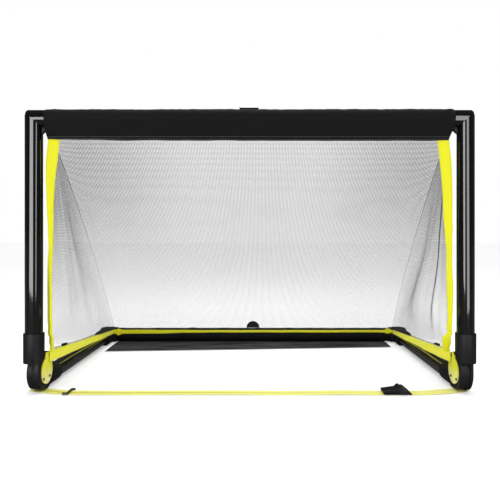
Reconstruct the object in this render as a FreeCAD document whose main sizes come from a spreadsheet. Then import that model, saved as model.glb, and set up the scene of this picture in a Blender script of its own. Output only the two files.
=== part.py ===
"""Folding goal net: a black tube frame with two floor hinges and telescoping cross tubes, its mesh, webbing and strap.

Millimetres. X runs across the goal to the right, Y from the mouth to the back, Z up. The origin lies on the
floor under the middle of the frame. The goal stands open, at its full width.
"""

import FreeCAD, Part

import math
import os

import Sketcher

Vector = FreeCAD.Vector
Rotation = FreeCAD.Rotation

SIZES = [
    ("frame_width", 1200, "outer face of one post to the outer face of the other"),
    ("frame_height", 756, "floor to the top of the crossbar tube"),
    ("tube_size", 45, "frame tube, across its flats"),
    ("tube_round", 46, "frame tube, across its rounded corners"),
    ("tube_wall", 1.5, "wall of the frame tube"),
    ("chamfer_run", 10.6, "top corner's chamfer, along the crossbar"),
    ("chamfer_drop", 21, "top corner's chamfer, down the post"),
    ("gusset_size", 12, "web in the inner top corner, along the crossbar"),
    ("gusset_drop", 19, "the same, down the post"),
    ("gusset_end", 9, "its height at its inner end"),
    ("gusset_thick", 12, "thickness of that web"),
    ("end_tube_length", 350, "crossbar and rear end tubes, from the outer face to the mouth"),
    ("centre_tube_size", 36, "outside diameter of the sliding centre tubes"),
    ("centre_tube_wall", 1.5, "wall of the centre tubes"),
    ("slide_travel", 245, "how far each side slides in"),
    ("bush_length", 25, "guide bush inside a tube's mouth"),
    ("bush_flange", 2, "flange of the bush outside the mouth"),
    ("plug_length", 10, "stop plug beyond the centre tube's end"),
    ("plug_spigot", 15, "stop plug inside the centre tube"),
    ("slide_gap", 0.2, "radial clearance of what slides in a tube"),
    ("seat_gap", 0.1, "radial clearance of what is fixed in a socket"),
    ("skin_gap", 0.3, "clearance between fabric or webbing and what carries it"),
    ("collar_size", 53, "tube collars and rear corners, across their flats"),
    ("collar_round", 54, "tube collars across their rounded corners"),
    ("corner_round", 63.6, "rear corners across their rounded corners"),
    ("collar_base", 28, "hinge axis to the near end of a collar"),
    ("collar_end", 106, "hinge axis to the far end of a collar"),
    ("socket_floor", 56, "hinge axis to the end of the tube in its collar"),
    ("collar_screw_at", 51, "hinge axis to the collar screw"),
    ("hinge_offset", 27.5, "hinge axis to the centre line of post or arm"),
    ("cheek_thick", 18, "post's half of the hinge"),
    ("cheek_side", 22.5, "outer face of that half from the tube's centre line"),
    ("disc_thick", 25, "arm's half of the hinge"),
    ("disc_side", 21, "outer face of that half from the tube's centre line"),
    ("crown_height", 10.5, "crown on the hinge half that has no cover"),
    ("crown_radius", 20, "flat top of that crown"),
    ("floor_gap", 2, "floor to the lowest point of the post's half"),
    ("disc_inset", 2, "arm's half is this much smaller in radius"),
    ("swing_gap", 1, "clearance round a half of the hinge as it swings"),
    ("pin_radius", 6, "hinge pin"),
    ("pin_gap", 0.05, "radial clearance of the hinge pin"),
    ("pin_head_radius", 11, "heads of the hinge pin"),
    ("pin_head_thick", 5, "thickness of those heads"),
    ("pin_pocket_depth", 6, "recess that a head sits in"),
    ("washer_radius", 20, "thrust washer between the halves"),
    ("washer_thick", 0.5, "its thickness"),
    ("cap_radius", 36, "yellow cover disc"),
    ("cap_thick", 3, "its thickness"),
    ("cap_lug_reach", 49, "hinge axis to the top of the cover's lug"),
    ("cap_lug_width", 20, "width of that lug"),
    ("cap_screw_fore", 26, "front cover screw, in front of the hinge axis"),
    ("cap_screw_aft", 14, "rear cover screw, behind the hinge axis"),
    ("cap_screw_drop", 18, "cover screws below the hinge axis"),
    ("screw_radius", 2, "shank of the small screws"),
    ("screw_length", 9, "length of that shank"),
    ("screw_head_radius", 3.6, "head of the small screws"),
    ("screw_head_thick", 1.8, "its thickness"),
    ("nub_radius", 4.6, "head of the collar screw"),
    ("nub_thick", 3.2, "its thickness"),
    ("rear_socket_arm", 65, "rear corner along the arm, past its own width"),
    ("rear_socket_bar", 8, "rear corner along the rear bar, past its own width"),
    ("sleeve_drop", 57.5, "crossbar centre to the lower seam of its sleeve"),
    ("sleeve_hem", 4, "thickness of the sleeve at that seam"),
    ("sleeve_cut_run", 2.5, "slanted lower corner of the sleeve, along the bar"),
    ("sleeve_cut_rise", 29, "the same, up from the seam"),
    ("flap_thick", 2, "floor flap in front of the rear bar"),
    ("flap_back", 11, "rear bar's centre to the flap's rear edge"),
    ("flap_left", 197, "rear bar's centre to the flap's front edge at the left"),
    ("flap_middle", 161, "the same in the middle"),
    ("flap_right", 122, "the same at the right"),
    ("flap_left_inset", 16, "left rear corner's inner face to the end of the flap"),
    ("flap_right_inset", 31, "the same at the right"),
    ("tab_radius", 26, "half-round tabs on both bars"),
    ("tab_thick", 3, "thickness of the rear tab"),
    ("patch_thick", 2.5, "thickness of the crossbar's tab, which lies flat"),
    ("webbing_thick", 1.5, "thickness of all webbing"),
    ("rear_webbing_low", 34, "rear webbing, lower edge above the floor"),
    ("rear_webbing_high", 50, "rear webbing, upper edge above the floor"),
    ("side_webbing_low", 74, "arm webbing at the hinge, lower edge"),
    ("side_webbing_high", 107, "arm webbing at the hinge, upper edge"),
    ("side_webbing_fore", 10, "arm webbing's front end behind the hinge axis"),
    ("edge_top_out", 58, "frame's outer face to the upright webbing's outer edge, at the top"),
    ("edge_top_width", 30, "upright webbing's width as seen at the top"),
    ("edge_high_out", 52, "frame's outer face to its outer edge, where it clears the sleeve's pull"),
    ("edge_high_drop", 52, "below its top, where that is"),
    ("edge_middle_out", 54, "frame's outer face to its outer edge, halfway down"),
    ("edge_middle_width", 20, "its width as seen there, where it stands more edge on"),
    ("edge_middle_drop", 270, "below its top, where that is"),
    ("edge_low_out", 58, "frame's outer face to its outer edge, lower down"),
    ("edge_low_width", 12, "its width as seen there"),
    ("edge_low_drop", 375, "below its top, where that is"),
    ("edge_knot_out", 52.5, "frame's outer face to its outer edge, where it turns to the hinge"),
    ("edge_knot_rise", 46, "above its foot, where that is"),
    ("edge_foot_width", 10, "width where it meets the cover's lug"),
    ("clip_at", 96, "net clip behind the hinge axis"),
    ("clip_length", 38, "net clip along the webbing"),
    ("clip_height", 7, "net clip's height"),
    ("clip_thick", 5, "net clip across the webbing"),
    ("eyelet_at", 108, "eyelet behind the hinge axis"),
    ("eyelet_height", 77, "eyelet above the floor"),
    ("eyelet_radius", 5, "eyelet's flange"),
    ("net_thick", 1.5, "net cord"),
    ("net_cord", 7, "width of a net cord as drawn in the solid"),
    ("strap_width", 38, "floor strap"),
    ("strap_bow", 30, "how far the strap lies in front of its ends"),
    ("strap_bend", 137.5, "bend at each end of the strap, along the goal"),
    ("strap_tail", 12, "strap past its rivet"),
    ("rivet_radius", 3, "shank of the strap rivet"),
    ("rivet_head_radius", 7, "its head"),
    ("rivet_length", 9, "length of that shank"),
    ("buckle_at", 186, "middle of the buckle from the right hinge"),
    ("buckle_length", 73, "buckle frame along the strap"),
    ("buckle_width", 44, "buckle frame across the strap"),
    ("buckle_base", 2, "thickness of the buckle's base"),
    ("buckle_cheek", 2.5, "thickness of its side cheeks"),
    ("buckle_cheek_length", 34, "those cheeks along the strap"),
    ("buckle_cheek_height", 14, "those cheeks above the base"),
    ("buckle_pin_radius", 2.5, "pin that the lever turns on"),
    ("lever_length", 52, "lever from its pin to its free end"),
    ("lever_thick", 5, "lever's thickness"),
    ("lever_slope", 8, "lever's fall to its free end, in degrees"),
    ("lever_boss", 6.5, "radius of the cam round the pin"),
    ("lever_lip_height", 5, "thumb lip above the lever"),
    ("lever_lip_length", 10, "thumb lip along the lever"),
    ("hook_at", 95.5, "wire hook from the left hinge"),
    ("hook_bar", 7, "width of the hook's bars"),
    ("hook_thick", 5, "their thickness"),
    ("hook_front", 16, "front bar along the strap"),
    ("hook_rear", 12, "rear bar along the strap"),
    ("hook_depth", 48, "hook across the strap"),
]

# Counts that are no lengths.
BACK_COLUMNS = 7
BACK_ROWS = 11
SIDE_ROWS = 8
TUBE_SIDES = 8

doc = FreeCAD.newDocument("FoldingGoal")
sheet = doc.addObject("Spreadsheet::Sheet", "Sizes")
for row, (alias, value, note) in enumerate(SIZES, start=1):
    sheet.set(f"A{row}", note)
    sheet.set(f"B{row}", str(value))
    sheet.setAlias(f"B{row}", alias)
doc.recompute()

# Places that follow from the sizes, as expressions.
OUT = "(Sizes.frame_width / 2)"
TUBE_X = "(Sizes.frame_width / 2 - Sizes.tube_size / 2)"
AXIS_Z = "(Sizes.hinge_offset + Sizes.collar_size / 2)"
ARM_Z = "(Sizes.collar_size / 2)"
BAR_Z = "(Sizes.frame_height - Sizes.tube_size / 2)"
REACH = f"({BAR_Z} - {AXIS_Z})"
AXIS_Y = f"(-({REACH} - Sizes.hinge_offset) / 2)"
POST_Y = f"({AXIS_Y} - Sizes.hinge_offset)"
REAR_Y = f"({AXIS_Y} + {REACH})"
BORE_R = "(Sizes.tube_size / 2 - Sizes.tube_wall)"
SLEEVE_R = "(Sizes.collar_size / 2)"
SLEEVE_HALF = f"({OUT} - Sizes.tube_size - Sizes.gusset_size - Sizes.skin_gap)"
REAR_SLEEVE_HALF = f"({TUBE_X} - Sizes.collar_size / 2 - Sizes.rear_socket_bar - Sizes.skin_gap)"
EDGE_TOP_X = f"({OUT} - Sizes.edge_top_out)"
BUCKLE_X = f"({TUBE_X} - Sizes.buckle_at)"
HOOK_X = f"({TUBE_X} - Sizes.hook_at)"
SLEEVE_BORE = "(Sizes.tube_round / 2 + Sizes.skin_gap)"
SOCKET_R = "(Sizes.tube_round / 2 + Sizes.seat_gap)"
CHEEK_R = f"({AXIS_Z} - Sizes.floor_gap)"
DISC_R = f"({CHEEK_R} - Sizes.disc_inset)"
CHEEK_IN = "(Sizes.cheek_side - Sizes.cheek_thick)"
DISC_IN = "(Sizes.disc_thick - Sizes.disc_side)"
CENTRE_HALF = f"({OUT} - Sizes.end_tube_length + Sizes.bush_length + Sizes.slide_gap)"
WEB_X = f"({TUBE_X} - Sizes.collar_size / 2 - Sizes.skin_gap - Sizes.webbing_thick)"
NET_TOP_Z = f"({BAR_Z} - Sizes.sleeve_drop)"
STRAP_Z = "(Sizes.webbing_thick + Sizes.skin_gap)"
RIVET_U = f"((Sizes.disc_side - Sizes.crown_height - {DISC_IN}) / 2)"

ALONG_X = (Vector(0, 1, 0), 90)
ALONG_Y = (Vector(1, 0, 0), -90)
SWAP_Y_Z = (Vector(0, 1, 1), 180)
SIDES = (("left", -1), ("right", 1))

parts = []


def number(text):
    """The value of an expression on the sheet."""
    return float(sheet.evalExpression(text))


def name_part(label, thing):
    """Marks a finished object as a sub-part of that name."""
    thing.Label = label
    parts.append(thing)
    return thing


def place(thing, x="0", y="0", z="0", turn=None, angle=None):
    """Puts an object at expressions, turned about an axis by degrees or by an expression."""
    if turn:
        thing.Placement = FreeCAD.Placement(Vector(), Rotation(*turn))
    for letter, text in zip("xyz", (x, y, z)):
        thing.setExpression(f"Placement.Base.{letter}", text)
    if angle:
        thing.setExpression("Placement.Rotation.Angle", angle)
    return thing


def cylinder(radius, length, **where):
    """A cylinder along Z from its placement."""
    thing = doc.addObject("Part::Cylinder", "cylinder")
    thing.setExpression("Radius", radius)
    thing.setExpression("Height", length)
    return place(thing, **where)


def cone(radius, top_radius, length, **where):
    """A cone that narrows along Z from its placement."""
    thing = doc.addObject("Part::Cone", "cone")
    for prop, text in (("Radius1", radius), ("Radius2", top_radius), ("Height", length)):
        thing.setExpression(prop, text)
    return place(thing, **where)


def box(width, depth, height, **where):
    """A box that starts at its placement."""
    thing = doc.addObject("Part::Box", "box")
    for prop, text in (("Length", width), ("Width", depth), ("Height", height)):
        thing.setExpression(prop, text)
    return place(thing, **where)


def cut(base, *tools):
    """The base without the tools."""
    for tool in tools:
        thing = doc.addObject("Part::Cut", "cut")
        thing.Base = base
        thing.Tool = tool
        base = thing
    return base


def fuse(*things):
    """One solid of several."""
    thing = doc.addObject("Part::MultiFuse", "fuse")
    thing.Shapes = list(things)
    return thing


def common(base, tool):
    """What two solids share."""
    thing = doc.addObject("Part::Common", "common")
    thing.Base = base
    thing.Tool = tool
    return thing


def group(*things):
    """Separate solids in one object."""
    thing = doc.addObject("Part::Compound", "group")
    thing.Links = list(things)
    return thing


def feature(shape):
    """An object that holds a shape made with Part's own functions."""
    thing = doc.addObject("Part::Feature", "shape")
    thing.Shape = shape
    thing.Placement = FreeCAD.Placement()
    return thing


def tube_bar(length):
    """A solid bar with the frame tube's outline: eight flats with rounded corners."""
    prism = doc.addObject("Part::Prism", "prism")
    prism.Polygon = TUBE_SIDES
    half_turn = 180 / TUBE_SIDES
    prism.setExpression("Circumradius", f"Sizes.tube_size / 2 / cos({half_turn})")
    prism.setExpression("Height", length)
    prism.Placement = FreeCAD.Placement(Vector(), Rotation(Vector(0, 0, 1), half_turn))
    return common(prism, cylinder("Sizes.tube_round / 2", length))


def collar_bar(length, across="Sizes.collar_round"):
    """A solid bar with the mouldings' outline: a square with rounded corners."""
    square = box(
        "Sizes.collar_size", "Sizes.collar_size", length, x="-Sizes.collar_size / 2", y="-Sizes.collar_size / 2"
    )
    return common(square, cylinder(f"{across} / 2", length))


def half_space(x, z, angle):
    """A cutter whose round face lies in a plane across X and Z; angle is its normal's, from +Z towards +X."""
    return cylinder("4 * Sizes.tube_size", "4 * Sizes.tube_size", x=x, z=z, turn=(Vector(0, 1, 0), 1), angle=angle)


def polygon_on(body, role, points):
    """A closed outline on one of the body's own planes through points given as pairs of expressions."""
    sketch = sketch_on(body, role)
    spots = [Vector(number(x), number(y), 0) for x, y in points]
    count = len(spots)
    for index in range(count):
        sketch.addGeometry(Part.LineSegment(spots[index], spots[(index + 1) % count]))
    for index in range(count):
        sketch.addConstraint(Sketcher.Constraint("Coincident", index, 2, (index + 1) % count, 1))
    for index, (x, y) in enumerate(points):
        pin_down(sketch, f"across_{index}", x, "DistanceX", -1, 1, index, 1)
        pin_down(sketch, f"upward_{index}", y, "DistanceY", -1, 1, index, 1)
    return sketch


def sketch_on(body, role):
    """A sketch on one of the body's own planes."""
    sketch = body.newObject("Sketcher::SketchObject", "outline")
    plane = next(o for o in body.Origin.OriginFeatures if o.Role == role)
    sketch.AttachmentSupport = [(plane, "")]
    sketch.MapMode = "FlatFace"
    return sketch


def pin_down(sketch, name, expression, *constraint):
    """Adds a named constraint whose value comes from the sheet."""
    index = sketch.addConstraint(Sketcher.Constraint(*constraint, number(expression)))
    sketch.renameConstraint(index, name)
    sketch.setExpression(f"Constraints.{name}", expression)


def pad(body, sketch, length, middle=False):
    """Pads a sketch of a body and returns the body."""
    thing = body.newObject("PartDesign::Pad", "pad")
    thing.Profile = sketch
    thing.setExpression("Length", length)
    if middle:
        thing.SideType = "Symmetric"
    body.Tip = thing
    return body


# Top corners: post tube and crossbar end tube, mitred, with a closed chamfer outside and a web inside.
def top_corner(side, sign):
    """Builds the tubes of one side of the front frame, around the crossing of their centre lines."""
    corner = {"x": f"{sign} * {TUBE_X}", "y": POST_Y, "z": BAR_Z}
    post_length = f"({REACH} - Sizes.socket_floor)"
    bar_length = "(Sizes.end_tube_length - Sizes.tube_size / 2)"
    inward = (Vector(0, 1, 0), -90 * sign)
    slant = "atan(Sizes.chamfer_drop / Sizes.chamfer_run)"

    def upright(shape):
        return place(shape, z=f"-{post_length}")

    def across(shape):
        return place(shape, x=f"{sign} * Sizes.tube_size / 2", turn=inward)

    post_full = f"{post_length} + Sizes.tube_size / 2"
    bar_full = f"{bar_length} + Sizes.tube_size / 2"
    post_mitre = half_space("0", "0", f"{-45 * sign}")
    bar_mitre = half_space("0", "0", f"{180 - 45 * sign}")
    plate_x = f"{sign} * (Sizes.tube_size / 2 - Sizes.chamfer_run - Sizes.tube_wall * sin({slant}))"
    plate_z = f"Sizes.tube_size / 2 - Sizes.tube_wall * cos({slant})"
    beyond = half_space(plate_x, plate_z, f"{sign} * {slant}")
    plate_disc = cylinder(
        "2 * Sizes.tube_size", "Sizes.tube_wall", x=plate_x, z=plate_z, turn=(Vector(0, 1, 0), 1),
        angle=f"{sign} * {slant}",
    )

    post_tube = cut(upright(tube_bar(post_full)), upright(cylinder(BORE_R, post_full)), post_mitre, beyond)
    bar_tube = cut(across(tube_bar(bar_full)), across(cylinder(BORE_R, bar_full)), bar_mitre, beyond)
    corner_solid = fuse(cut(upright(tube_bar(post_full)), post_mitre), cut(across(tube_bar(bar_full)), bar_mitre))
    bar_tube = fuse(bar_tube, common(corner_solid, plate_disc))
    name_part(f"{side}_post_tube", place(post_tube, **corner))
    name_part(f"{side}_crossbar_tube", place(bar_tube, **corner))

    leg, drop, thick = "Sizes.gusset_size", "Sizes.gusset_drop", "Sizes.gusset_thick"
    start = "Sizes.tube_size / 2" if sign < 0 else f"-Sizes.tube_size / 2 - {leg}"
    block = box(leg, thick, drop, x=start, y=f"-{thick} / 2", z=f"-Sizes.tube_size / 2 - {drop}")
    below = half_space(
        f"{-sign} * (Sizes.tube_size / 2 + {leg})", "-Sizes.tube_size / 2 - Sizes.gusset_end",
        f"{-sign} * (180 deg - atan(({drop} - Sizes.gusset_end) / {leg}))",
    )
    name_part(f"{side}_corner_gusset", place(cut(block, below), **corner))


# Hinge halves. Post and arm use the same build: the arm's is the post's turned about the slope between them.
def knuckle(plate_from, plate_to, plate_r, clear_from, clear_to, clear_r, pocket_from, holes, crowned):
    """A collar on a round plate, with room for the other half's plate and a recess for a cover.

    The plate lies across X between plate_from and plate_to and turns about X at the origin; the collar
    runs along Z, its centre line in front of the axis. holes are cutters in the same frame. A crowned
    plate slopes from a flat top to its rim, and a plain one carries the cover.
    """
    rim_to = f"({plate_to} - Sizes.crown_height)" if crowned else plate_to
    collar = place(
        collar_bar("(Sizes.collar_end - Sizes.collar_base)"), y="-Sizes.hinge_offset", z="Sizes.collar_base"
    )
    plate = cylinder(plate_r, f"{rim_to} - {plate_from}", x=plate_from, turn=ALONG_X)
    if crowned:
        crown = cone(plate_r, "Sizes.crown_radius", "Sizes.crown_height", x=rim_to, turn=ALONG_X)
        plate = fuse(plate, crown)
    web = box(
        f"{rim_to} - {plate_from}", f"{plate_r} - Sizes.swing_gap", "Sizes.collar_base + Sizes.swing_gap",
        x=plate_from, y=f"-{plate_r}",
    )
    room = cylinder(f"{clear_r} + Sizes.swing_gap", f"{clear_to} - {clear_from}", x=clear_from, turn=ALONG_X)
    recess = cylinder(
        "Sizes.cap_lug_reach + Sizes.swing_gap", "Sizes.collar_size", x=rim_to, turn=ALONG_X
    )
    bore = cylinder(SOCKET_R, "Sizes.collar_end", y="-Sizes.hinge_offset", z="Sizes.socket_floor")
    pin_hole = cylinder(
        "Sizes.pin_radius + Sizes.pin_gap", "2 * Sizes.collar_size", x="-Sizes.collar_size", turn=ALONG_X
    )
    pocket = cylinder(
        "Sizes.pin_head_radius + Sizes.swing_gap", "Sizes.pin_pocket_depth", x=pocket_from, turn=ALONG_X
    )
    return cut(fuse(cut(collar, room, recess), plate, web), bore, pin_hole, pocket, *holes)


def cap_screw_spots():
    """Where the two cover screws sit, behind and above the hinge axis."""
    return (("-Sizes.cap_screw_fore", "-Sizes.cap_screw_drop"), ("Sizes.cap_screw_aft", "-Sizes.cap_screw_drop"))


def hinge(side, sign):
    """Builds one hinge: both halves, pin, washer, cover, screws and the strap's rivet."""
    at_axis = {"x": f"{sign} * {TUBE_X}", "y": AXIS_Y, "z": AXIS_Z}
    outside = "Sizes.collar_size"
    middle = f"(({CHEEK_IN} + {DISC_IN}) / 2)"
    cap_on_post = sign < 0
    hole_r = "Sizes.screw_radius + Sizes.seat_gap"
    spots = cap_screw_spots()

    post_holes = [
        cylinder(
            hole_r, "Sizes.collar_size", x="0" if sign < 0 else f"-{outside}", y="-Sizes.hinge_offset",
            z="Sizes.collar_screw_at", turn=ALONG_X,
        )
    ]
    arm_holes = [
        cylinder(
            "Sizes.rivet_radius + Sizes.seat_gap", "Sizes.rivet_length + Sizes.seat_gap",
            x=RIVET_U, y=f"-{DISC_R}", turn=ALONG_Y,
        )
    ]
    for behind, above in spots:
        if cap_on_post:
            post_holes.append(
                cylinder(hole_r, "Sizes.screw_length + Sizes.seat_gap",
                         x="Sizes.cheek_side - Sizes.screw_length - Sizes.seat_gap",
                         y=behind, z=above, turn=ALONG_X)
            )
        else:
            arm_holes.append(
                cylinder(hole_r, "Sizes.screw_length + Sizes.seat_gap",
                         x="Sizes.disc_side - Sizes.screw_length - Sizes.seat_gap",
                         y=above, z=behind, turn=ALONG_X)
            )
    post_half = knuckle(
        CHEEK_IN, "Sizes.cheek_side", CHEEK_R, f"-{outside}", middle, DISC_R,
        "Sizes.cheek_side - Sizes.pin_pocket_depth", post_holes, not cap_on_post,
    )
    arm_half = knuckle(
        f"-{DISC_IN}", "Sizes.disc_side", DISC_R, f"-{outside}", f"-{middle}", CHEEK_R,
        "Sizes.disc_side - Sizes.pin_pocket_depth", arm_holes, cap_on_post,
    )
    name_part(f"{side}_post_knuckle", place(post_half, **at_axis))
    name_part(f"{side}_arm_knuckle", place(arm_half, **at_axis, turn=SWAP_Y_Z))

    disc_head = "(-Sizes.disc_side + Sizes.pin_pocket_depth)"
    cheek_head = "(Sizes.cheek_side - Sizes.pin_pocket_depth)"
    head = ("Sizes.pin_head_radius", "Sizes.pin_head_thick")
    pin = fuse(
        cylinder("Sizes.pin_radius", f"{cheek_head} - {disc_head}", x=disc_head, turn=ALONG_X),
        cylinder(*head, x=f"{disc_head} - Sizes.pin_head_thick", turn=ALONG_X),
        cylinder(*head, x=cheek_head, turn=ALONG_X),
    )
    name_part(f"{side}_hinge_pin", place(pin, **at_axis))
    washer = cut(
        cylinder("Sizes.washer_radius", "Sizes.washer_thick", x=DISC_IN, turn=ALONG_X),
        cylinder("Sizes.pin_radius + Sizes.slide_gap", "3 * Sizes.washer_thick",
                 x=f"{DISC_IN} - Sizes.washer_thick", turn=ALONG_X),
    )
    name_part(f"{side}_hinge_washer", place(washer, **at_axis))

    face = "Sizes.cheek_side" if cap_on_post else "(-Sizes.disc_side)"
    cap_x = face if cap_on_post else f"{face} - Sizes.cap_thick"
    body = doc.addObject("PartDesign::Body", "cover")
    pad(body, cap_outline(body), "Sizes.cap_thick")
    cover_at = {"x": f"{sign} * {TUBE_X} + {cap_x}", "y": AXIS_Y, "z": AXIS_Z}
    name_part(f"{side}_hinge_cover", place(body, **cover_at))

    screws = []
    for behind, above in spots:
        head_x = f"{face} + Sizes.cap_thick" if cap_on_post else f"{face} - Sizes.cap_thick - Sizes.screw_head_thick"
        shank_x = f"{face} - Sizes.screw_length" if cap_on_post else f"{face} - Sizes.cap_thick"
        spot = {"y": behind, "z": above, "turn": ALONG_X}
        screws.append(
            fuse(
                cylinder("Sizes.screw_head_radius", "Sizes.screw_head_thick", x=head_x, **spot),
                cylinder("Sizes.screw_radius", "Sizes.screw_length + Sizes.cap_thick", x=shank_x, **spot),
            )
        )
    name_part(f"{side}_cover_screws", place(group(*screws), **at_axis))

    inner_face = "Sizes.collar_size / 2"
    wall = f"({inner_face} - {SOCKET_R})"
    spot = {"y": "-Sizes.hinge_offset", "z": "Sizes.collar_screw_at", "turn": ALONG_X}
    nub_x = inner_face if sign < 0 else f"-{inner_face} - Sizes.nub_thick"
    stem_x = f"{inner_face} - {wall}" if sign < 0 else f"-{inner_face}"
    nub = fuse(cylinder("Sizes.nub_radius", "Sizes.nub_thick", x=nub_x, **spot),
               cylinder("Sizes.screw_radius", wall, x=stem_x, **spot))
    name_part(f"{side}_collar_screw", place(nub, **at_axis))

    head_thick = f"({AXIS_Z} - {DISC_R} - {STRAP_Z})"
    rivet = fuse(
        cylinder("Sizes.rivet_head_radius", head_thick, z=f"-{head_thick}"),
        cylinder("Sizes.rivet_radius", "Sizes.rivet_length"),
    )
    rivet_x = f"{sign} * {TUBE_X} - {RIVET_U}"
    name_part(f"{side}_strap_rivet", place(rivet, x=rivet_x, y=AXIS_Y, z=f"{AXIS_Z} - {DISC_R}"))


def cap_outline(body):
    """The cover's outline: a disc with a lug on top, and two screw holes."""
    sketch = sketch_on(body, "YZ_Plane")
    radius, reach = number("Sizes.cap_radius"), number("Sizes.cap_lug_reach")
    half = number("Sizes.cap_lug_width") / 2
    rise = math.sqrt(radius**2 - half**2)
    start = math.atan2(rise, -half)
    sketch.addGeometry(Part.ArcOfCircle(Part.Circle(Vector(), Vector(0, 0, 1), radius), start,
                                        math.atan2(rise, half) + 2 * math.pi))
    for first, last in (((half, rise), (half, reach)), ((half, reach), (-half, reach)), ((-half, reach), (-half, rise))):
        sketch.addGeometry(Part.LineSegment(Vector(*first, 0), Vector(*last, 0)))
    for constraint in (
        ("Coincident", 0, 3, -1, 1), ("Coincident", 0, 2, 1, 1), ("Coincident", 1, 2, 2, 1),
        ("Coincident", 2, 2, 3, 1), ("Coincident", 3, 2, 0, 1), ("Vertical", 1), ("Vertical", 3),
        ("Symmetric", 1, 2, 3, 1, -2),
    ):
        sketch.addConstraint(Sketcher.Constraint(*constraint))
    pin_down(sketch, "disc_radius", "Sizes.cap_radius", "Radius", 0)
    pin_down(sketch, "lug_reach", "Sizes.cap_lug_reach", "DistanceY", -1, 1, 1, 2)
    pin_down(sketch, "lug_width", "Sizes.cap_lug_width", "DistanceX", 3, 1, 1, 2)
    for index, (behind, above) in enumerate(cap_screw_spots(), start=4):
        centre = Vector(number(behind), number(above), 0)
        sketch.addGeometry(Part.Circle(centre, Vector(0, 0, 1), number("Sizes.screw_radius")))
        pin_down(sketch, f"hole_radius_{index}", "Sizes.screw_radius + Sizes.seat_gap", "Radius", index)
        pin_down(sketch, f"hole_height_{index}", above, "DistanceY", -1, 1, index, 3)
        pin_down(sketch, f"hole_behind_{index}", behind, "DistanceX", -1, 1, index, 3)
    return sketch


# Base frame.
def base_side(side, sign):
    """Builds the arm tube, the rear corner moulding and the rear end tube of one side."""
    arm_end = f"({REAR_Y} - Sizes.tube_size / 2 - Sizes.swing_gap)"
    arm_start = f"({AXIS_Y} + Sizes.socket_floor)"
    length = f"{arm_end} - {arm_start}"
    arm = cut(tube_bar(length), cylinder(BORE_R, length))
    name_part(f"{side}_arm_tube", place(arm, x=f"{sign} * {TUBE_X}", y=arm_start, z=ARM_Z, turn=ALONG_Y))

    inward = (Vector(0, 1, 0), -90 * sign)
    length = "Sizes.end_tube_length - Sizes.skin_gap"
    tube = cut(tube_bar(length), cylinder(BORE_R, length))
    name_part(
        f"{side}_rear_tube",
        place(tube, x=f"{sign} * ({OUT} - Sizes.skin_gap)", y=REAR_Y, z=ARM_Z, turn=inward),
    )

    shell = "(Sizes.collar_size / 2)"
    bar_length = "Sizes.collar_size + Sizes.rear_socket_bar"
    arm_length = "Sizes.collar_size + Sizes.rear_socket_arm"
    outer_x = f"{sign} * ({TUBE_X} + {shell})"
    front_y = f"({REAR_Y} - {shell} - Sizes.rear_socket_arm)"
    shape = fuse(
        place(collar_bar(bar_length, "Sizes.corner_round"), x=outer_x, y=REAR_Y, turn=inward),
        place(collar_bar(arm_length, "Sizes.corner_round"), x=f"{sign} * {TUBE_X}", y=front_y, turn=ALONG_Y),
    )
    bar_bore = cylinder(SOCKET_R, "2 * Sizes.collar_size", x=f"{sign} * {OUT}", y=REAR_Y, turn=inward)
    arm_bore = cylinder(SOCKET_R, f"{arm_end} - {front_y}", x=f"{sign} * {TUBE_X}", y=front_y, turn=ALONG_Y)
    name_part(f"{side}_rear_corner", place(cut(shape, bar_bore, arm_bore), z=ARM_Z))


# Telescoping tubes: bushes in the end tubes' mouths and a centre tube with stop plugs, for both bars.
def telescope(bar, y, z):
    """Builds the sliding parts of one bar at its centre line."""
    for side, sign in SIDES:
        mouth = f"{sign} * ({OUT} - Sizes.end_tube_length)"
        outward = (Vector(0, 1, 0), 90 * sign)
        ring = fuse(
            cylinder(f"{BORE_R} - Sizes.seat_gap", "Sizes.bush_length"),
            cylinder("Sizes.tube_size / 2", "Sizes.bush_flange", z="-Sizes.bush_flange"),
        )
        bore = cylinder("Sizes.centre_tube_size / 2 + Sizes.slide_gap", "3 * Sizes.bush_length",
                        z="-Sizes.bush_length")
        name_part(f"{side}_{bar}_bush", place(cut(ring, bore), x=mouth, y=y, z=z, turn=outward))
    tube = cut(
        cylinder("Sizes.centre_tube_size / 2", f"2 * {CENTRE_HALF}"),
        cylinder("Sizes.centre_tube_size / 2 - Sizes.centre_tube_wall", f"2 * {CENTRE_HALF}"),
    )
    name_part(f"{bar}_centre_tube", place(tube, x=f"-{CENTRE_HALF}", y=y, z=z, turn=ALONG_X))
    plugs = []
    for side, sign in SIDES:
        spigot_r = "Sizes.centre_tube_size / 2 - Sizes.centre_tube_wall - Sizes.seat_gap"
        plug = fuse(
            cylinder(f"{BORE_R} - Sizes.slide_gap", "Sizes.plug_length"),
            cylinder(spigot_r, "Sizes.plug_spigot", z="-Sizes.plug_spigot"),
        )
        plugs.append(place(plug, x=f"{sign} * {CENTRE_HALF}", turn=(Vector(0, 1, 0), 90 * sign)))
    name_part(f"{bar}_stop_plugs", place(group(*plugs), y=y, z=z))


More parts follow.
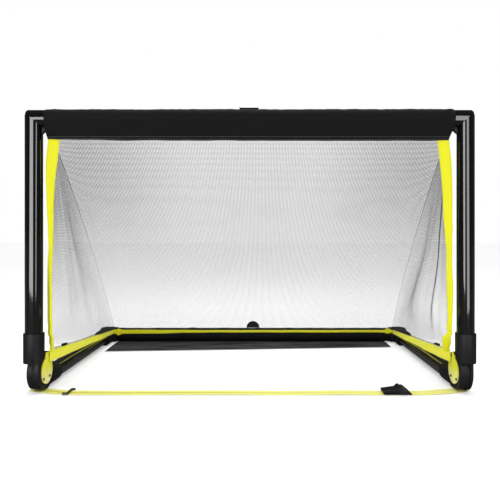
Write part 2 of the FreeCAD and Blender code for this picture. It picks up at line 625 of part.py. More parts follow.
# Fabric on the bars.
def crossbar_sleeve():
    """The crossbar's sleeve: round over the tube and drawn in to a flat seam below it."""
    body = doc.addObject("PartDesign::Body", "sleeve")
    sketch = sketch_on(body, "YZ_Plane")
    radius, drop, half = number(SLEEVE_R), number("Sizes.sleeve_drop"), number("Sizes.sleeve_hem") / 2
    reach = math.hypot(half, drop)
    touch = math.acos(radius / reach) - math.atan2(half, drop)
    right = -math.pi / 2 + touch + 2 * math.atan2(half, drop)
    left = -math.pi - right
    edge = Vector(radius * math.cos(right), radius * math.sin(right), 0)
    sketch.addGeometry(Part.ArcOfCircle(Part.Circle(Vector(), Vector(0, 0, 1), radius), right, left + 2 * math.pi))
    points = [Vector(-edge.x, edge.y, 0), Vector(-half, -drop, 0), Vector(half, -drop, 0), edge]
    for first, last in zip(points, points[1:]):
        sketch.addGeometry(Part.LineSegment(first, last))
    for constraint in (
        ("Coincident", 0, 3, -1, 1), ("Tangent", 0, 2, 1, 1), ("Coincident", 1, 2, 2, 1),
        ("Coincident", 2, 2, 3, 1), ("Tangent", 3, 2, 0, 1), ("Symmetric", 2, 1, 2, 2, -2),
    ):
        sketch.addConstraint(Sketcher.Constraint(*constraint))
    pin_down(sketch, "sleeve_radius", SLEEVE_R, "Radius", 0)
    pin_down(sketch, "seam_width", "Sizes.sleeve_hem", "DistanceX", 2, 1, 2, 2)
    pin_down(sketch, "seam_drop", "Sizes.sleeve_drop", "DistanceY", 2, 2, -1, 1)
    sketch.addGeometry(Part.Circle(Vector(), Vector(0, 0, 1), number(SLEEVE_BORE)))
    sketch.addConstraint(Sketcher.Constraint("Coincident", 4, 3, -1, 1))
    pin_down(sketch, "bore_radius", SLEEVE_BORE, "Radius", 4)
    pad(body, sketch, f"2 * {SLEEVE_HALF}", middle=True)
    corners = [
        half_space(
            f"{sign} * {SLEEVE_HALF}", "-Sizes.sleeve_drop + Sizes.sleeve_cut_rise",
            f"{sign} * (90 deg + atan(Sizes.sleeve_cut_run / Sizes.sleeve_cut_rise))",
        )
        for _, sign in SIDES
    ]
    name_part("crossbar_sleeve", place(cut(body, *corners), y=POST_Y, z=BAR_Z))


def rear_sleeve():
    """The rear bar's sleeve, which the bar lies on the floor with."""
    length = f"2 * {REAR_SLEEVE_HALF}"
    sleeve = cut(cylinder(SLEEVE_R, length), cylinder(SLEEVE_BORE, length))
    name_part("rear_sleeve", place(sleeve, x=f"-{REAR_SLEEVE_HALF}", y=REAR_Y, z=ARM_Z, turn=ALONG_X))


def rear_flap():
    """The fabric flap that lies on the floor in front of the rear bar."""
    inner, rear = number(f"{TUBE_X} - Sizes.collar_size / 2"), number(REAR_Y)
    west, east = (sign * (inner - number(f"Sizes.flap_{side}_inset")) for side, sign in SIDES)
    back = rear - number("Sizes.flap_back")
    left, middle, right = (rear - number(f"Sizes.flap_{at}") for at in ("left", "middle", "right"))
    points = [Vector(east, back, 0), Vector(west, back, 0), Vector(west, left, 0)]
    front = Part.Arc(points[-1], Vector(0, middle, 0), Vector(east, right, 0)).toShape()
    sides = [Part.makeLine(a, b) for a, b in zip(points, points[1:])]
    closing = Part.makeLine(Vector(east, right, 0), points[0])
    face = Part.Face(Part.Wire([*sides, front, closing]))
    name_part("rear_flap", feature(face.extrude(Vector(0, 0, number("Sizes.flap_thick")))))


def half_round(thick, role, **where):
    """A half-round plate across one of the main planes."""
    body = doc.addObject("PartDesign::Body", "tab")
    sketch = sketch_on(body, role)
    radius = number("Sizes.tab_radius")
    sketch.addGeometry(Part.ArcOfCircle(Part.Circle(Vector(), Vector(0, 0, 1), radius), 0, math.pi))
    sketch.addGeometry(Part.LineSegment(Vector(-radius, 0, 0), Vector(radius, 0, 0)))
    for constraint in (
        ("Coincident", 0, 3, -1, 1), ("Coincident", 0, 2, 1, 1), ("Coincident", 1, 2, 0, 1), ("Horizontal", 1),
        ("PointOnObject", 0, 3, 1),
    ):
        sketch.addConstraint(Sketcher.Constraint(*constraint))
    pin_down(sketch, "tab_radius", "Sizes.tab_radius", "Radius", 0)
    pad(body, sketch, thick, middle=True)
    return place(body, **where)


def crossbar_tab():
    """The tab on the crossbar's sleeve, which lies over its top and down its rear side."""
    inner = f"({SLEEVE_R} + Sizes.skin_gap)"
    width = "2 * Sizes.tab_radius"
    ring = cut(
        cylinder(f"{inner} + Sizes.patch_thick", width, x="-Sizes.tab_radius", turn=ALONG_X),
        cylinder(inner, f"2 * {width}", x=f"-{width}", turn=ALONG_X),
    )
    upper = box(width, width, width, x="-Sizes.tab_radius", y=f"-{width} / 2")
    outline = half_round(f"4 * {SLEEVE_R}", "XY_Plane", y="-Sizes.patch_thick")
    name_part("crossbar_tab", place(common(common(ring, upper), outline), y=POST_Y, z=BAR_Z))


# Webbing, ribbons through hand-set stations.
def ribbon(stations):
    """A thin solid through rectangles; each station is its four corners."""
    wires = [Part.makePolygon([*corners, corners[0]]) for corners in stations]
    return Part.makeLoft(wires, True, True)


def upright_webbing(side, sign):
    """Yellow webbing on the net's upright edge, wide at the sleeve and drawn in towards the hinge."""
    thick = number("Sizes.webbing_thick")
    top, bottom = number(NET_TOP_Z) - number("Sizes.skin_gap"), number(f"{AXIS_Z} + Sizes.cap_lug_reach")
    bottom += number("Sizes.skin_gap")
    face = number("Sizes.cheek_side + Sizes.cap_thick" if sign < 0 else "Sizes.disc_side + Sizes.cap_thick")
    foot_out = number(TUBE_X) - face + number("Sizes.cap_thick")
    low_width = number("Sizes.edge_low_width")

    def out(where):
        return number(f"{OUT} - Sizes.edge_{where}_out")

    outlines = [
        (top, out("top"), number("Sizes.edge_top_width")),
        (top - number("Sizes.edge_high_drop"), out("high"), number("Sizes.edge_top_width")),
        (top - number("Sizes.edge_middle_drop"), out("middle"), number("Sizes.edge_middle_width")),
        (top - number("Sizes.edge_low_drop"), out("low"), low_width),
        (bottom + number("Sizes.edge_knot_rise"), out("knot"), low_width),
        (bottom, foot_out, number("Sizes.edge_foot_width")),
    ]
    spans = [(height, outer - width, outer) for height, outer, width in outlines]
    top_y, foot_y = number(POST_Y), number(AXIS_Y) + number("Sizes.cap_lug_width") / 4
    stations = []
    for height, inner, outer in spans:
        y = top_y + (foot_y - top_y) * (top - height) / (top - bottom)
        stations.append([
            Vector(sign * inner, y - thick / 2, height), Vector(sign * outer, y - thick / 2, height),
            Vector(sign * outer, y + thick / 2, height), Vector(sign * inner, y + thick / 2, height),
        ])
    name_part(f"{side}_edge_webbing", feature(ribbon(stations)))


def lower_line(edge):
    """The arm webbing's upper or lower edge: its height at the hinge and at the rear bar."""
    return number(f"Sizes.side_webbing_{edge}"), number(f"Sizes.rear_webbing_{edge}")


def lower_ends():
    """Where the arm webbing starts and ends, along Y."""
    front = number(f"{AXIS_Y} + Sizes.side_webbing_fore")
    rear = number(f"{REAR_Y} - {SLEEVE_R} - 2 * Sizes.skin_gap - Sizes.webbing_thick")
    return front, rear


def lower_height(edge, y):
    """The height of that edge at a place along Y."""
    front, rear = lower_ends()
    at_hinge, at_rear = lower_line(edge)
    return at_hinge + (at_rear - at_hinge) * (y - front) / (rear - front)


def arm_webbing(side, sign):
    """Yellow webbing along the arm, with its clip and eyelet."""
    thick = number("Sizes.webbing_thick")
    inner = number(WEB_X)
    stations = []
    for y in lower_ends():
        low, high = lower_height("low", y), lower_height("high", y)
        stations.append([
            Vector(sign * inner, y, low), Vector(sign * (inner + thick), y, low),
            Vector(sign * (inner + thick), y, high), Vector(sign * inner, y, high),
        ])
    name_part(f"{side}_arm_webbing", feature(ribbon(stations)))

    clip_out = inner + thick
    clip_in = clip_out - number("Sizes.clip_thick")
    stations = []
    for y in (number(f"{AXIS_Y} + Sizes.clip_at"), number(f"{AXIS_Y} + Sizes.clip_at + Sizes.clip_length")):
        low = lower_height("high", y) + number("Sizes.skin_gap")
        high = low + number("Sizes.clip_height")
        stations.append([
            Vector(sign * clip_in, y, low), Vector(sign * clip_out, y, low),
            Vector(sign * clip_out, y, high), Vector(sign * clip_in, y, high),
        ])
    name_part(f"{side}_net_clip", feature(ribbon(stations)))

    eyelet = cylinder("Sizes.eyelet_radius", "Sizes.webbing_thick")
    hole = cylinder("Sizes.eyelet_radius / 2", "3 * Sizes.webbing_thick", z="-Sizes.webbing_thick")
    eyelet_x = f"{sign} * {WEB_X}" + ("" if sign < 0 else " - Sizes.webbing_thick")
    name_part(
        f"{side}_eyelet",
        place(cut(eyelet, hole), x=eyelet_x, y=f"{AXIS_Y} + Sizes.eyelet_at", z="Sizes.eyelet_height", turn=ALONG_X),
    )


def rear_webbing():
    """Yellow webbing along the front of the rear sleeve."""
    band = box(
        f"2 * ({WEB_X} - Sizes.skin_gap)", "Sizes.webbing_thick", "Sizes.rear_webbing_high - Sizes.rear_webbing_low",
        x=f"-({WEB_X} - Sizes.skin_gap)", y=f"{REAR_Y} - {SLEEVE_R} - Sizes.skin_gap - Sizes.webbing_thick",
        z="Sizes.rear_webbing_low",
    )
    name_part("rear_webbing", band)


# Net: one holed face for each panel.
def shrunk(corners, cord):
    """A gap's corners drawn in from its cell's, by half a cord on each side."""
    middle = sum(corners, Vector()) / len(corners)
    shortest = min((b - a).Length for a, b in zip(corners, corners[1:] + corners[:1]))
    share = 1 - cord / shortest
    return [middle + (corner - middle) * share for corner in corners]


def net_panel(outline, cells, facing):
    """A thin solid with a gap for each cell, its thickness to the side that it faces."""
    cord, thick = number("Sizes.net_cord"), number("Sizes.net_thick")
    face = Part.Face(Part.makePolygon([*outline, outline[0]]))
    gaps = [Part.Face(Part.makePolygon([*gap, gap[0]])) for gap in (shrunk(cell, cord) for cell in cells)]
    holed = Part.Face([face.OuterWire, *(gap.OuterWire for gap in gaps)])
    holed.validate()
    normal = face.normalAt(0, 0)
    if normal.dot(facing) < 0:
        normal = -normal
    return holed.extrude(normal * thick)


def net_top():
    """Where the back panel hangs from the crossbar's seam, behind the upright webbing: Y and Z."""
    gap = number("Sizes.skin_gap")
    behind = number("Sizes.webbing_thick") / 2 + gap + number("Sizes.net_thick")
    return number(POST_Y) + behind, number(NET_TOP_Z) - gap


def back_net(side, sign):
    """One half of the sloping back panel, from the crossbar's seam to the rear webbing."""
    gap = number("Sizes.skin_gap")
    top_y, top_z = net_top()
    low_z = number("Sizes.rear_webbing_high") + gap
    low_y = lower_ends()[1]
    middle = sign * gap
    top_out, low_out = sign * number(EDGE_TOP_X), sign * (number(WEB_X) - gap)

    def at(across, down):
        outer = top_out + (low_out - top_out) * down
        return Vector(middle + (outer - middle) * across, top_y + (low_y - top_y) * down, top_z + (low_z - top_z) * down)

    outline = [at(0, 0), at(1, 0), at(1, 1), at(0, 1)]
    cells = [
        [at(i / BACK_COLUMNS, j / BACK_ROWS), at((i + 1) / BACK_COLUMNS, j / BACK_ROWS),
         at((i + 1) / BACK_COLUMNS, (j + 1) / BACK_ROWS), at(i / BACK_COLUMNS, (j + 1) / BACK_ROWS)]
        for i in range(BACK_COLUMNS)
        for j in range(BACK_ROWS)
    ]
    name_part(f"{side}_back_net", feature(net_panel(outline, cells, Vector(0, -1, -1))))


def side_net(side, sign):
    """The triangular side panel between the upright webbing, the arm webbing and the back panel."""
    gap = number("Sizes.skin_gap")
    front, rear = lower_ends()
    inset = number("Sizes.net_thick") + gap
    rise = number("Sizes.clip_height") + 5 * gap
    x_top = sign * (number(EDGE_TOP_X) + inset)
    x_low = sign * (number(WEB_X) - gap)
    fore = Vector(x_low, front, lower_height("high", front) + rise)
    top_y, top_z = net_top()
    low_z = number("Sizes.rear_webbing_high") + gap
    slope = Vector(0, rear - top_y, low_z - top_z)
    facing = Vector(0, slope.z, -slope.y).normalize() * inset
    top = Vector(x_top, top_y, top_z) + facing
    aft = Vector(x_low, rear, low_z) + facing - slope * (rise / (top_z - low_z))

    def at(i, j):
        return top + (fore - top) * (i / SIDE_ROWS) + (aft - top) * (j / SIDE_ROWS)

    cells = []
    for i in range(SIDE_ROWS):
        for j in range(SIDE_ROWS - i):
            corners = [at(i, j), at(i + 1, j), at(i + 1, j + 1), at(i, j + 1)]
            if i + j == SIDE_ROWS - 1:
                corners.pop(2)
            cells.append(corners)
    name_part(f"{side}_side_net", feature(net_panel([top, fore, aft], cells, Vector(-sign, 0, 0))))


# Floor strap with its buckle and hook.
def strap_y(x):
    """The strap's centre line at a place along X: straight in front of the hinges and bent to them."""
    bow, bend = number("Sizes.strap_bow"), number("Sizes.strap_bend")
    radius = (bend**2 + bow**2) / (2 * bow)
    past = max(0, abs(x) - (number(TUBE_X) - bend))
    return number(AXIS_Y) - bow + radius - math.sqrt(radius**2 - past**2)


def floor_strap():
    """The strap across the mouth, lying flat, with both ends under the hinges."""
    half_width = number("Sizes.strap_width") / 2
    tail, rivet = number("Sizes.strap_tail"), number(RIVET_U)
    left, right = -number(TUBE_X) - rivet - tail, number(TUBE_X) - rivet + tail
    straight = number(f"{TUBE_X} - Sizes.strap_bend")
    spots = [left, (left - straight) / 2, -straight, straight, (straight + right) / 2, right]
    edges, corners = [], []
    for shift in (-half_width, half_width):
        a, b, c, d, e, f = (Vector(x, strap_y(x) + shift, 0) for x in spots)
        edges.append([Part.Arc(a, b, c).toShape(), Part.makeLine(c, d), Part.Arc(d, e, f).toShape()])
        corners.append((a, f))
    ends = [Part.makeLine(front, rear) for front, rear in zip(*corners)]
    face = Part.Face(Part.Wire([*edges[0], ends[1], *reversed(edges[1]), ends[0]]))
    name_part("floor_strap", feature(face.extrude(Vector(0, 0, number("Sizes.webbing_thick")))))


def cam_buckle():
    """The buckle's frame with its pin, and the lever that turns on it."""
    centre_y = strap_y(number(BUCKLE_X))
    frame_x = f"({BUCKLE_X} - Sizes.buckle_length / 2)"
    cheek_x = f"({frame_x} + Sizes.buckle_length - Sizes.buckle_cheek_length)"
    half = "Sizes.buckle_width / 2"
    pin_x = f"({cheek_x} + Sizes.buckle_cheek_length / 3)"
    pin_z = f"({STRAP_Z} + Sizes.buckle_base + Sizes.lever_boss + Sizes.skin_gap)"
    base = box("Sizes.buckle_length", "Sizes.buckle_width", "Sizes.buckle_base",
               x=frame_x, y=f"-{half}", z=STRAP_Z)
    pieces = [base]
    for start in (f"-{half}", f"{half} - Sizes.buckle_cheek"):
        pieces.append(box("Sizes.buckle_cheek_length", "Sizes.buckle_cheek",
                          "Sizes.buckle_base + Sizes.buckle_cheek_height", x=cheek_x, y=start, z=STRAP_Z))
    pieces.append(cylinder("Sizes.buckle_pin_radius", "Sizes.buckle_width", x=pin_x, y=f"-{half}", z=pin_z,
                           turn=ALONG_Y))
    slope = half_space(f"{cheek_x} + Sizes.buckle_cheek_length / 2",
                       f"{STRAP_Z} + Sizes.buckle_base + Sizes.buckle_cheek_height",
                       "atan(Sizes.buckle_cheek_height / (Sizes.buckle_cheek_length / 2))")
    name_part("buckle_frame", place(cut(fuse(*pieces), slope), y=f"{centre_y}"))

    width = "(Sizes.buckle_width - 2 * Sizes.buckle_cheek - 2 * Sizes.skin_gap)"
    top, free = "Sizes.lever_boss", "-Sizes.lever_length"
    points = [
        ("0", "-Sizes.lever_boss"), (free, f"{top} - Sizes.lever_thick"), (free, top),
        ("-1.5 * Sizes.lever_lip_length", top),
        ("-Sizes.lever_lip_length", f"{top} + Sizes.lever_lip_height"),
        ("-Sizes.lever_lip_length / 3", f"{top} + Sizes.lever_lip_height"), ("0", top),
    ]
    plate = doc.addObject("PartDesign::Body", "lever")
    pad(plate, polygon_on(plate, "XZ_Plane", points), width, middle=True)
    boss = cylinder("Sizes.lever_boss", width, y=f"-{width} / 2", turn=ALONG_Y)
    hole = cylinder("Sizes.buckle_pin_radius + Sizes.pin_gap", f"2 * {width}", y=f"-{width}", turn=ALONG_Y)
    lever = cut(fuse(plate, boss), hole)
    place(lever, x=pin_x, y=f"{centre_y}", z=pin_z, turn=(Vector(0, 1, 0), 1), angle="-Sizes.lever_slope")
    name_part("buckle_lever", lever)


def strap_hook():
    """The wire hook on the strap: a front bar to the left and a rear bar to the right of a cross bar."""
    centre_y = strap_y(-number(HOOK_X))
    bar, thick = "Sizes.hook_bar", "Sizes.hook_thick"
    half = "Sizes.hook_depth / 2"
    cross = box(bar, "Sizes.hook_depth", thick, x=f"-{bar} / 2", y=f"-{half}")
    front = box("Sizes.hook_front", bar, thick, x=f"{bar} / 2 - Sizes.hook_front", y=f"-{half}")
    rear = box("Sizes.hook_rear", bar, thick, x=f"-{bar} / 2", y=f"{half} - {bar}")
    name_part("strap_hook", place(fuse(cross, front, rear), x=f"-{HOOK_X}", y=f"{centre_y}", z=STRAP_Z))


def build():
    """Builds every sub-part."""
    for side, sign in SIDES:
        top_corner(side, sign)
        hinge(side, sign)
        base_side(side, sign)
        upright_webbing(side, sign)
        arm_webbing(side, sign)
        back_net(side, sign)
        side_net(side, sign)
    telescope("crossbar", POST_Y, BAR_Z)
    telescope("rear", REAR_Y, ARM_Z)
    crossbar_sleeve()
    rear_sleeve()
    rear_flap()
    rear_webbing()
    name_part("rear_tab", half_round("Sizes.tab_thick", "XZ_Plane", y=REAR_Y,
                                     z=f"{ARM_Z} + {SLEEVE_R} + Sizes.skin_gap"))
    crossbar_tab()
    floor_strap()
    cam_buckle()
    strap_hook()


def check_and_write():
    """Checks every object and writes each sub-part to its own file."""
    doc.recompute()
    failed = [thing for thing in doc.Objects if {"Invalid", "Error"} & set(thing.State)]
    for thing in failed:
        print(thing.Label, thing.getStatusString(), thing.ExpressionEngine)
    if failed:
        raise ValueError(f"{len(failed)} objects failed")
    for thing in parts:
        if thing.Shape.isNull() or not thing.Shape.isValid() or not thing.Shape.Solids:
            raise ValueError(f"{thing.Label} has no valid solid")
    os.makedirs("parts", exist_ok=True)
    for thing in parts:
        thing.Shape.exportStep(f"parts/{thing.Label}.step")
        box_ = thing.Shape.BoundBox
        print(f"{thing.Label:22s} solids {len(thing.Shape.Solids)} volume {thing.Shape.Volume:10.0f} "
              f"x {box_.XMin:7.1f} {box_.XMax:7.1f} y {box_.YMin:7.1f} {box_.YMax:7.1f} z {box_.ZMin:6.1f} {box_.ZMax:6.1f}")
    print(len(parts), "sub-parts")


build()
check_and_write()
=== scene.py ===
"""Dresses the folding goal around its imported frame: tubes, hinges, mesh, webbing, sleeves and floor strap.

Everything is in metres in the frame's own axes: X across the goal, Y from the mouth to the back, Z up.
"""

import logging
import math
from dataclasses import dataclass
from enum import Enum
from typing import Callable, Optional, Sequence

import bmesh
import bpy
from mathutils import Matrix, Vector, noise


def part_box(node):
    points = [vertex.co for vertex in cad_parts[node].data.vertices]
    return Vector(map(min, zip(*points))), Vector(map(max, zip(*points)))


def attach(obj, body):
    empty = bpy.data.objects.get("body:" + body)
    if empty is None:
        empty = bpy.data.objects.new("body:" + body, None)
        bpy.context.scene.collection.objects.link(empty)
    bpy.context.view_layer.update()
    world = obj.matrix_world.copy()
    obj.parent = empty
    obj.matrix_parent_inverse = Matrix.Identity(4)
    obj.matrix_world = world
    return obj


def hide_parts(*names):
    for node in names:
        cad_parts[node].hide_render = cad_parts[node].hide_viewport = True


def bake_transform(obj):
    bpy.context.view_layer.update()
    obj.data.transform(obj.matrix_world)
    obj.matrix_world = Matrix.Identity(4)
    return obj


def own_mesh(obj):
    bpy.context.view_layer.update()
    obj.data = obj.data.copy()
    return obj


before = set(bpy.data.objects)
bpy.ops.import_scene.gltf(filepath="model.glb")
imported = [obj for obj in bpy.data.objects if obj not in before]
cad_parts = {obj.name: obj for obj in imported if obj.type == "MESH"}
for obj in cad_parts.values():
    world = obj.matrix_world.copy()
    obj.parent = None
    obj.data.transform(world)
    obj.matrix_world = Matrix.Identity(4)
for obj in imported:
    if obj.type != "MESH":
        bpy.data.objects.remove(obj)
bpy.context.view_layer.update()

log = logging.getLogger("goal")

Point = tuple[float, float, float]
Color = tuple[float, float, float]


class Side(Enum):
    """Left or right of the goal, with the sign of its X."""

    LEFT = -1
    RIGHT = 1

    @property
    def word(self) -> str:
        """The side's name as the bodies and nodes spell it."""
        return self.name.lower()

    @property
    def base(self) -> str:
        """The body that lies on the floor on this side."""
        return f"{self.word}_base"

    @property
    def upright(self) -> str:
        """The body that stands on this side."""
        return f"{self.word}_upright"


class Slot(Enum):
    """The record's material slots; some pieces list one, but no slot is given to any piece."""

    PAINT = "frame_paint"
    HINGE = "hinge_plastic"
    COVER = "cover_plastic"
    WEBBING = "yellow_webbing"
    CLOTH = "sleeve_cloth"
    MESH = "mesh"
    BUCKLE = "buckle_plastic"
    HOOK = "hook_wire"


@dataclass(frozen=True)
class GoalSizes:
    """The part's own sizes, as its source names them, in metres."""

    half_width: float = 0.6
    tube: float = 0.045
    axis_y: float = -0.326
    post_y: float = -0.3535
    rear_y: float = 0.3535
    bar_z: float = 0.7335
    arm_z: float = 0.0265
    shell: float = 0.0265
    seam_drop: float = 0.0575
    webbing: float = 0.0015
    web_x: float = 0.5492
    travel: float = 0.245
    tab_radius: float = 0.026
    cloth: float = 0.0009
    skin_gap: float = 0.0004

    @property
    def tube_x(self) -> float:
        """Centre line of posts and arms from the middle."""
        return self.half_width - self.tube / 2

    @property
    def seam_z(self) -> float:
        """Height of the crossbar sleeve's lower seam."""
        return self.bar_z - self.seam_drop


SIZES = GoalSizes()


class Value:
    """A shader socket that plain arithmetic can be written with."""

    def __init__(self, shader: "Shader", socket: bpy.types.NodeSocket) -> None:
        """Wraps one output socket of a shader's tree."""
        self.shader = shader
        self.socket = socket

    def _math(self, operation: str, *others: "Value | float", clamp: bool = False) -> "Value":
        """Adds one Math node that starts from this value."""
        values = [self, *others]
        inputs = {index: value for index, value in enumerate(values)}
        return self.shader.add("ShaderNodeMath", {"operation": operation, "use_clamp": clamp}, inputs)

    def __add__(self, other: "Value | float") -> "Value":
        """This value plus another."""
        return self._math("ADD", other)

    __radd__ = __add__

    def __sub__(self, other: "Value | float") -> "Value":
        """This value minus another."""
        return self._math("SUBTRACT", other)

    def __rsub__(self, other: float) -> "Value":
        """A number minus this value."""
        return self._math("MULTIPLY", -1.0)._math("ADD", other)

    def __mul__(self, other: "Value | float") -> "Value":
        """This value times another."""
        return self._math("MULTIPLY", other)

    __rmul__ = __mul__

    def __truediv__(self, other: "Value | float") -> "Value":
        """This value divided by another."""
        return self._math("DIVIDE", other)

    def power(self, other: float) -> "Value":
        """This value to a power."""
        return self._math("POWER", other)

    def sine(self) -> "Value":
        """The sine of this value in radians."""
        return self._math("SINE")

    def absolute(self) -> "Value":
        """This value without its sign."""
        return self._math("ABSOLUTE")

    def above(self, edge: float, soft: float) -> "Value":
        """A mask that rises from 0 to 1 over a soft step around an edge."""
        return ((self - (edge - soft)) / (2 * soft))._math("ADD", 0.0, clamp=True)


class Shader:
    """One procedural material while it is being put together."""

    def __init__(self, name: str) -> None:
        """Starts a material with an empty Principled surface."""
        self.material = bpy.data.materials.new(name)
        self.material.use_nodes = True
        self.nodes = self.material.node_tree.nodes
        self.links = self.material.node_tree.links
        self.nodes.clear()
        output = self.nodes.new("ShaderNodeOutputMaterial")
        self.surface = self.nodes.new("ShaderNodeBsdfPrincipled")
        self.links.new(self.surface.outputs[0], output.inputs["Surface"])

    def add(self, kind: str, settings: dict, inputs: dict, output: int | str = 0) -> Value:
        """Adds any node.

        Args:
            kind: the node's type.
            settings: its own settings, set before its sockets; "stops" are a ramp's places and colours.
            inputs: numbers, colours or Values by socket name or index.
            output: the output socket to hand back.

        Returns:
            That output as a Value.
        """
        node = self.nodes.new(kind)
        for key, value in settings.items():
            if key == "stops":
                ramp = node.color_ramp
                while len(ramp.elements) < len(value):
                    ramp.elements.new(1.0)
                for element, (place, color) in zip(ramp.elements, value):
                    element.position = place
                    element.color = (*color, 1.0)
            else:
                setattr(node, key, value)
        for key, value in inputs.items():
            self.feed(node.inputs[key], value)
        return Value(self, node.outputs[output])

    def feed(self, socket: bpy.types.NodeSocket, value: "Value | float | Sequence[float]") -> None:
        """Links or sets one input socket."""
        if isinstance(value, Value):
            self.links.new(value.socket, socket)
        elif isinstance(value, (int, float)):
            socket.default_value = value
        else:
            values = tuple(value)
            wanted = len(socket.default_value)
            socket.default_value = values if len(values) == wanted else (*values, 1.0)

    def set(self, **inputs: "Value | float | Sequence[float]") -> None:
        """Sets or links sockets of the Principled surface; an underscore stands for a space."""
        for name, value in inputs.items():
            self.feed(self.surface.inputs[name.replace("_", " ")], value)

    def place(self) -> Value:
        """Object coordinates, which are the frame's own metres."""
        return self.add("ShaderNodeTexCoord", {}, {}, "Object")

    def along(self) -> Value:
        """The piece's own UV map, in metres: U across, V along."""
        return self.add("ShaderNodeUVMap", {"uv_map": "UVMap"}, {})

    def axis(self, vector: Value, letter: str) -> Value:
        """One component of a vector."""
        return self.add("ShaderNodeSeparateXYZ", {}, {0: vector}, letter)

    def noise(self, vector: Value, scale: float, detail: float = 2.0, rough: float = 0.5) -> Value:
        """Fractal noise from 0 to 1 at that many cycles per metre."""
        inputs = {"Vector": vector, "Scale": scale, "Detail": detail, "Roughness": rough}
        return self.add("ShaderNodeTexNoise", {}, inputs, 0)

    def stretch(self, vector: Value, scale: Point) -> Value:
        """A vector scaled differently along each axis."""
        return self.add("ShaderNodeVectorMath", {"operation": "MULTIPLY"}, {0: vector, 1: scale})

    def mix(self, first: "Value | Color", second: "Value | Color", amount: "Value | float") -> Value:
        """A colour between two colours."""
        node = self.nodes.new("ShaderNodeMix")
        node.data_type = "RGBA"
        sockets = [s for s in node.inputs if s.type == "RGBA"]
        self.feed(node.inputs[0], amount)
        self.feed(sockets[0], first)
        self.feed(sockets[1], second)
        return Value(self, next(s for s in node.outputs if s.type == "RGBA"))

    def bump(self, height: Value, distance: float, strength: float = 1.0) -> Value:
        """A normal from a height between 0 and 1 that stands for that distance in metres."""
        return self.add("ShaderNodeBump", {}, {"Height": height, "Distance": distance, "Strength": strength})


@dataclass(frozen=True)
class PowderCoat:
    """Black powder coat on steel tube: satin gloss, a faint orange peel, a few dull scuffs."""

    name: str = "black_powder_coat"
    color: Color = (0.0016, 0.0015, 0.0022)
    dusty: Color = (0.009, 0.0087, 0.0105)
    roughness: float = 0.08

    def build(self) -> bpy.types.Material:
        """Makes the material."""
        shader = Shader(self.name)
        place = shader.place()
        peel = shader.noise(place, 420.0, 2.0)
        scuff = shader.noise(shader.stretch(place, (1.0, 1.0, 0.35)), 38.0, 6.0, 0.65).above(0.66, 0.06)
        cloud = shader.noise(place, 9.0, 3.0)
        shader.set(
            Base_Color=shader.mix(self.color, self.dusty, scuff * 0.5 + cloud * 0.25),
            Roughness=cloud * 0.03 + scuff * 0.1 + self.roughness,
            Normal=shader.bump(peel, 0.00006, 0.3),
            Specular_IOR_Level=0.5,
            Coat_Weight=1.0,
            Coat_Roughness=0.06,
        )
        return shader.material


@dataclass(frozen=True)
class Zinc:
    """Zinc-plated steel with fine lines round the tube."""

    name: str
    color: Color = (0.55, 0.55, 0.56)
    roughness: float = 0.32

    def build(self) -> bpy.types.Material:
        """Makes the material."""
        shader = Shader(self.name)
        place = shader.place()
        cloud = shader.noise(place, 60.0, 4.0)
        lines = shader.noise(shader.stretch(place, (1.0, 24.0, 24.0)), 90.0, 3.0)
        darker = tuple(part * 0.72 for part in self.color)
        shader.set(
            Base_Color=shader.mix(self.color, darker, cloud),
            Metallic=1.0,
            Roughness=lines * 0.16 + (self.roughness - 0.08),
            Normal=shader.bump(lines, 0.00004, 0.4),
        )
        return shader.material


@dataclass(frozen=True)
class Moulding:
    """Injection-moulded plastic with a fine spark-eroded grain; a foot colour, where given, is painted light on the
    lower part.
    """

    name: str
    color: Color
    worn: Color
    roughness: float = 0.5
    grain: float = 0.00006
    edge: float = 0.0012
    gloss: float = 0.28
    # foot: a paler colour below about 48 mm, painted light where more light falls on the lower part
    foot: Color | None = None

    def build(self) -> bpy.types.Material:
        """Makes the material."""
        shader = Shader(self.name)
        place = shader.place()
        grain = shader.noise(place, 1400.0, 3.0, 0.6)
        cloud = shader.noise(place, 24.0, 4.0)
        rub = shader.noise(shader.stretch(place, (1.0, 1.4, 1.4)), 120.0, 5.0, 0.7).above(0.68, 0.05)
        rounded = shader.add("ShaderNodeBevel", {"samples": 4}, {"Radius": self.edge})
        bump = shader.add(
            "ShaderNodeBump", {},
            {"Height": grain, "Distance": self.grain, "Strength": 0.6, "Normal": rounded},
        )
        color = shader.mix(self.color, self.worn, cloud * 0.4 + rub * 0.35)
        # painted light: below about 48 mm the colour turns to the paler foot, standing in for the brighter lit lower
        # part
        if self.foot is not None:
            color = shader.mix(self.foot, color, shader.axis(place, "Z").above(0.048, 0.016))
        shader.set(
            Base_Color=color,
            Roughness=cloud * 0.1 + rub * 0.08 + (self.roughness - 0.05),
            Specular_IOR_Level=self.gloss,
            Normal=bump,
        )
        return shader.material


